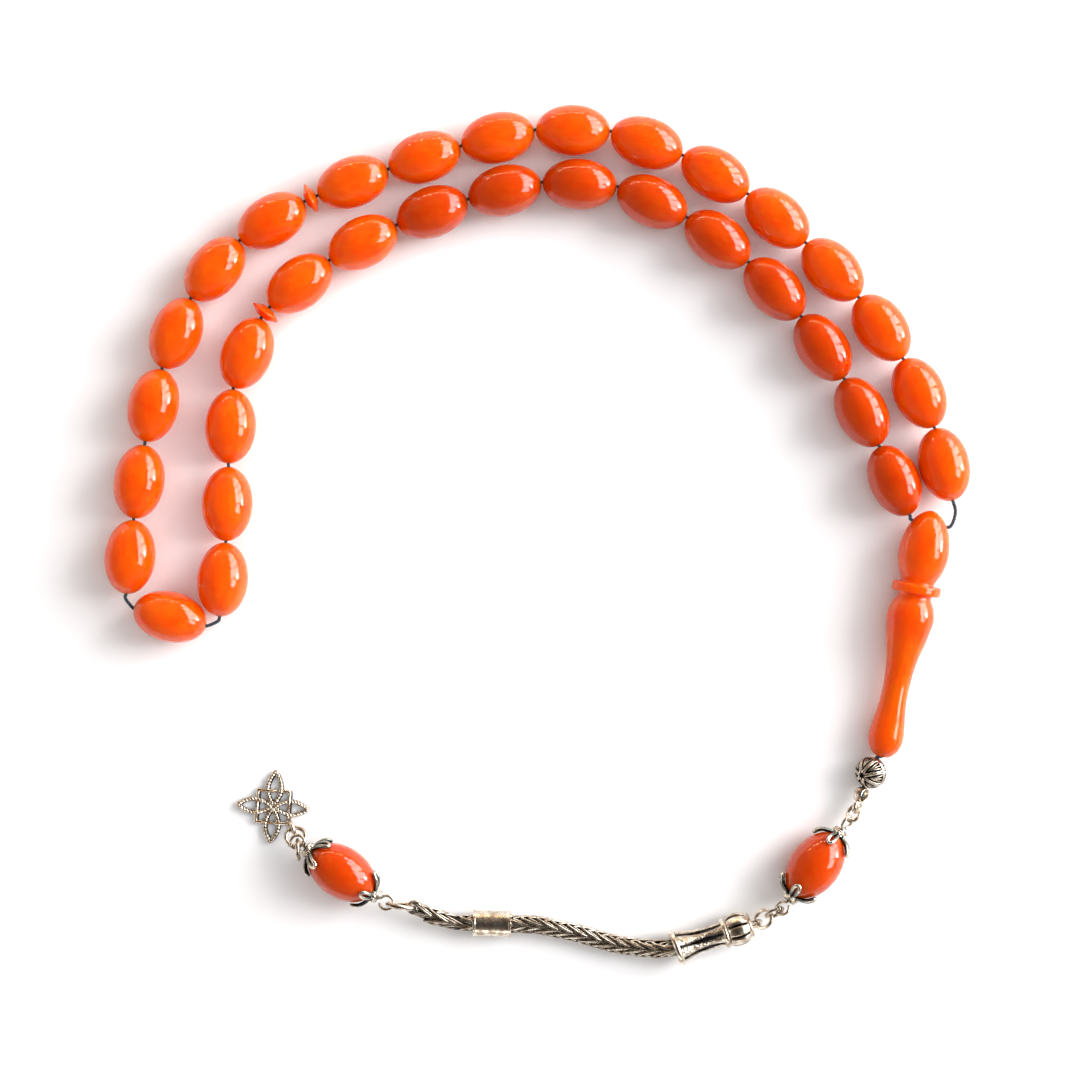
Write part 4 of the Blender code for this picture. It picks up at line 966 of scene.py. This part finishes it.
pendantSizes = {"arm": 6.3, "inner": 0.35, "halfWidth": 1.22, "strand": 0.25, "reach": 0.18, "lay": 1.2,
                "side": 5.7, "frameWire": 0.31, "weave": 0.25, "height": 0.36, "bailWidth": 1.15, "lift": 0.42,
                "shadeWireRadius": 0.27, "aside": (0.24, -0.08, 0), "bailWire": 0.36, "hub": 0.55, "lean": -5}
flat = pointsOf("pendant")
flat = flat[flat[:, 2] < 0.75]
centre = Vector(((flat[:, 0].max() + flat[:, 0].min()) / 2, (flat[:, 1].max() + flat[:, 1].min()) / 2,
                 pendantSizes["height"]))
swing = placeOf("pendant_swing")
away = centre - swing
away.z = 0
away.normalize()
pendantFrame = frameAt(centre, away) @ Matrix.Rotation(math.radians(pendantSizes["lean"]), 4, "Z")


def shadeWireUnder(path, turn):
    # painted shade for the dark side of a bright wire: a thinner black wire under it, a little to one side
    drop = Vector((0, 0, pendantSizes["lift"]))
    return wire("wall", [point - drop for point in path], pendantSizes["shadeWireRadius"], black, 8,
                closed=True, place=Matrix.Translation(pendantSizes["aside"]) @ turn)


armSteps, parts = 22, []
for number in range(4):
    path = []
    for side in (1, -1):
        for i in range(armSteps):
            t = i / armSteps if side > 0 else 1 - i / armSteps
            x = pendantSizes["inner"] + (pendantSizes["arm"] - pendantSizes["inner"]) * t
            y = side * pendantSizes["halfWidth"] * math.sin(math.pi * t) ** 0.85
            path.append(Vector((x, y, pendantSizes["lift"] + 0.1 * side * math.sin(math.pi * t))))
    turn = pendantFrame @ Matrix.Rotation(math.radians(45 + 90 * number), 4, "Z")
    values = {"Strands": 2, "Strand Radius": pendantSizes["strand"] * mm, "Reach": pendantSizes["reach"] * mm,
              "Lay": pendantSizes["lay"] * mm, "Step": 0.16 * mm, "Sides": 7}
    rope = grow("arm", "rope", values, patinaShaded, path, closed=True, place=turn)
    # the rope's flanks go dark as patina and painted shade, and a black wire under it is painted shade
    parts.append(markPatinaAndShade(rope, fromFlat(up), -0.1, 0.6))
    parts.append(shadeWireUnder([point * 0.985 for point in path], turn))
halfSide = pendantSizes["side"] / 2
corners = [(halfSide, halfSide), (-halfSide, halfSide), (-halfSide, -halfSide), (halfSide, -halfSide)]
framePath = []
for (x0, y0), (x1, y1) in zip(corners, corners[1:] + corners[:1]):
    for i in range(16):
        share = i / 16
        gone = (share - 0.5) * pendantSizes["side"]
        lift = pendantSizes["lift"]
        lift += pendantSizes["weave"] * math.sin(math.pi * gone / 2) if abs(gone) < 2 else 0.0
        framePath.append(Vector((x0 + (x1 - x0) * share, y0 + (y1 - y0) * share, lift)))
turn = pendantFrame @ Matrix.Rotation(math.radians(45), 4, "Z")
square = wire("square", framePath, pendantSizes["frameWire"], finishes["copperSilver"], closed=True,
              place=turn)
# the square's flanks go dark as patina and painted shade, and a black wire under it is painted shade
parts.append(markPatinaAndShade(square, fromFlat(up), -0.1, 0.6))
parts.append(shadeWireUnder([Vector((point.x, point.y, pendantSizes["lift"])) for point in framePath], turn))
corner = centre - away * halfSide * math.sqrt(2)
slope = (corner - swing).normalized()
back = pendantSizes["bailWire"] + 0.36 + 0.3
bailHalf = ((corner - swing).length + back) / 2
bailPlace = frameAt(swing, slope, axisOf("pendant_swing")) @ Matrix.Translation((bailHalf - back, 0, 0))
parts.append(wire("bail", oval(bailHalf, pendantSizes["bailWidth"]), pendantSizes["bailWire"],
                  plain, closed=True, place=bailPlace))
button = [(-0.3, 0.0), (-0.28, pendantSizes["hub"] * 0.8), (0.0, pendantSizes["hub"]),
          (0.2, pendantSizes["hub"] * 0.75), (0.28, 0.0)]
parts.append(placed("button", *lathe(button, 20), black, frameAt(centre, up, away)))
rideOn(joined("star_pendant", parts), "pendant", "oxidised_silver", "pendant")
print("pendant")


studio = {"floor": (0.93, 0.93, 0.95), "backdrop": (0.97, 0.97, 0.98), "frameWidth": 192.2,
          "lens": 85.0, "sensor": 36.0, "aim": (0.5, -0.65), "plane": 4.5, "sky": 125.0, "window": 9.0,
          "key": 3.6}
floorMesh = bpy.data.meshes.new("floor")
floorMesh.from_pydata([(-2.5, -2.5, 0), (2.5, -2.5, 0), (2.5, 2.5, 0), (-2.5, 2.5, 0)], [], [(0, 1, 2, 3)])
floor = bpy.data.objects.new("floor", floorMesh)
bpy.context.scene.collection.objects.link(floor)
paper, tree, shader = newMaterial("paper")
grain = objectPattern(tree, "ShaderNodeTexNoise", 60.0, Detail=6.0)
tone = rampNode(tree, grain.outputs[0], [(0.2, (0.90, 0.905, 0.925)), (0.8, studio["floor"])])
feed(tree, shader, {"Base Color": tone, "Roughness": 0.85, "Specular IOR Level": 0.2})
floorMesh.materials.append(paper)


def addLight(name, place, aim, size, power, colour, inGloss=True):
    lamp = bpy.data.lights.new(name, "AREA")
    lamp.shape = "RECTANGLE"
    lamp.size, lamp.size_y = size
    lamp.energy = power
    lamp.color = colour
    holder = bpy.data.objects.new(name, lamp)
    holder.location = place
    holder.rotation_euler = (Vector(aim) - Vector(place)).to_track_quat("-Z", "Y").to_euler()
    holder.visible_camera = False
    holder.visible_glossy = inGloss
    bpy.context.scene.collection.objects.link(holder)
    return holder


addLight("skyFill", (0, 0, 4), (0, 0, 0), (6, 6), studio["sky"], (0.93, 0.97, 1.0), inGloss=False)


def addPane(name, turn, rise, spread, tall, glow, colour, away=2.6):
    # one window pane, given by where it stands round the beads and how much of the view it fills
    width, height = (2 * away * math.tan(math.radians(angle / 2)) for angle in (spread, tall))
    power = glow * math.pi * width * height
    return addLight(name, heading(turn, rise) * away, (0, 0, 0), (width, height), power, colour)


windowPanes = [(62, 16, 7, 14, 0.8, False), (49, 19, 14, 28, 0.9, False), (32, 22, 14, 38, 1.0, True),
               (12, 24, 18, 42, 1.0, True), (-12, 33, 17, 22, 0.9, False), (2, 12, 10, 13, 2.2, False)]
for number, (turn, rise, spread, tall, share, lights) in enumerate(windowPanes):
    pane = addPane(f"pane{number}", turn, rise, spread, tall, studio["window"] * share, (1.0, 0.99, 0.98))
    pane.visible_diffuse = lights
softKey = addPane("softKey", 22, 36, 42, 40, studio["key"], (1.0, 0.99, 0.98))
softKey.visible_glossy = False
for number, turn in enumerate((74, 83, 93, 104, 112, 124)):
    addPane(f"far{number}", turn, 8 + 3 * (number % 2), 5, 6, studio["window"], (1.0, 0.8, 0.5))
for number, (turn, rise, spread, tall, glow) in enumerate([(188, 26, 36, 14, 2.0), (268, 22, 60, 9, 4.0)]):
    glint = addPane(f"glint{number}", turn, rise, spread, tall, glow, (1.0, 0.98, 0.95))
    glint.visible_diffuse = False
    glint.light_linking.receiver_collection = silverPieces
world = bpy.data.worlds.new("room")
world.use_nodes = True
tree = world.node_tree
facing = addNode(tree, "ShaderNodeSeparateXYZ", {0: addNode(tree, "ShaderNodeTexCoord").outputs["Generated"]})
room = rampNode(tree, facing.outputs["Z"], [(0.0, (0.5, 0.42, 0.34)), (0.35, (0.34, 0.26, 0.19)),
                                            (0.75, (0.13, 0.10, 0.08)), (1.0, (0.03, 0.027, 0.025))])
seen = addNode(tree, "ShaderNodeLightPath").outputs["Is Camera Ray"]
backdrop = addNode(tree, "ShaderNodeMix", {"Factor": seen, 6: room, 7: (*studio["backdrop"], 1)},
                   data_type="RGBA")
feed(tree, tree.nodes["Background"], {"Color": backdrop.outputs[2]})
bpy.context.scene.world = world
camera = bpy.data.cameras.new("camera")
camera.lens, camera.sensor_width = studio["lens"], studio["sensor"]
eye = bpy.data.objects.new("camera", camera)
height = studio["frameWidth"] * studio["lens"] / studio["sensor"] + studio["plane"]
eye.location = Vector((*studio["aim"], height)) * mm
bpy.context.scene.collection.objects.link(eye)
bpy.context.scene.camera = eye
bpy.context.scene.view_settings.view_transform = "Standard"
print("stage")
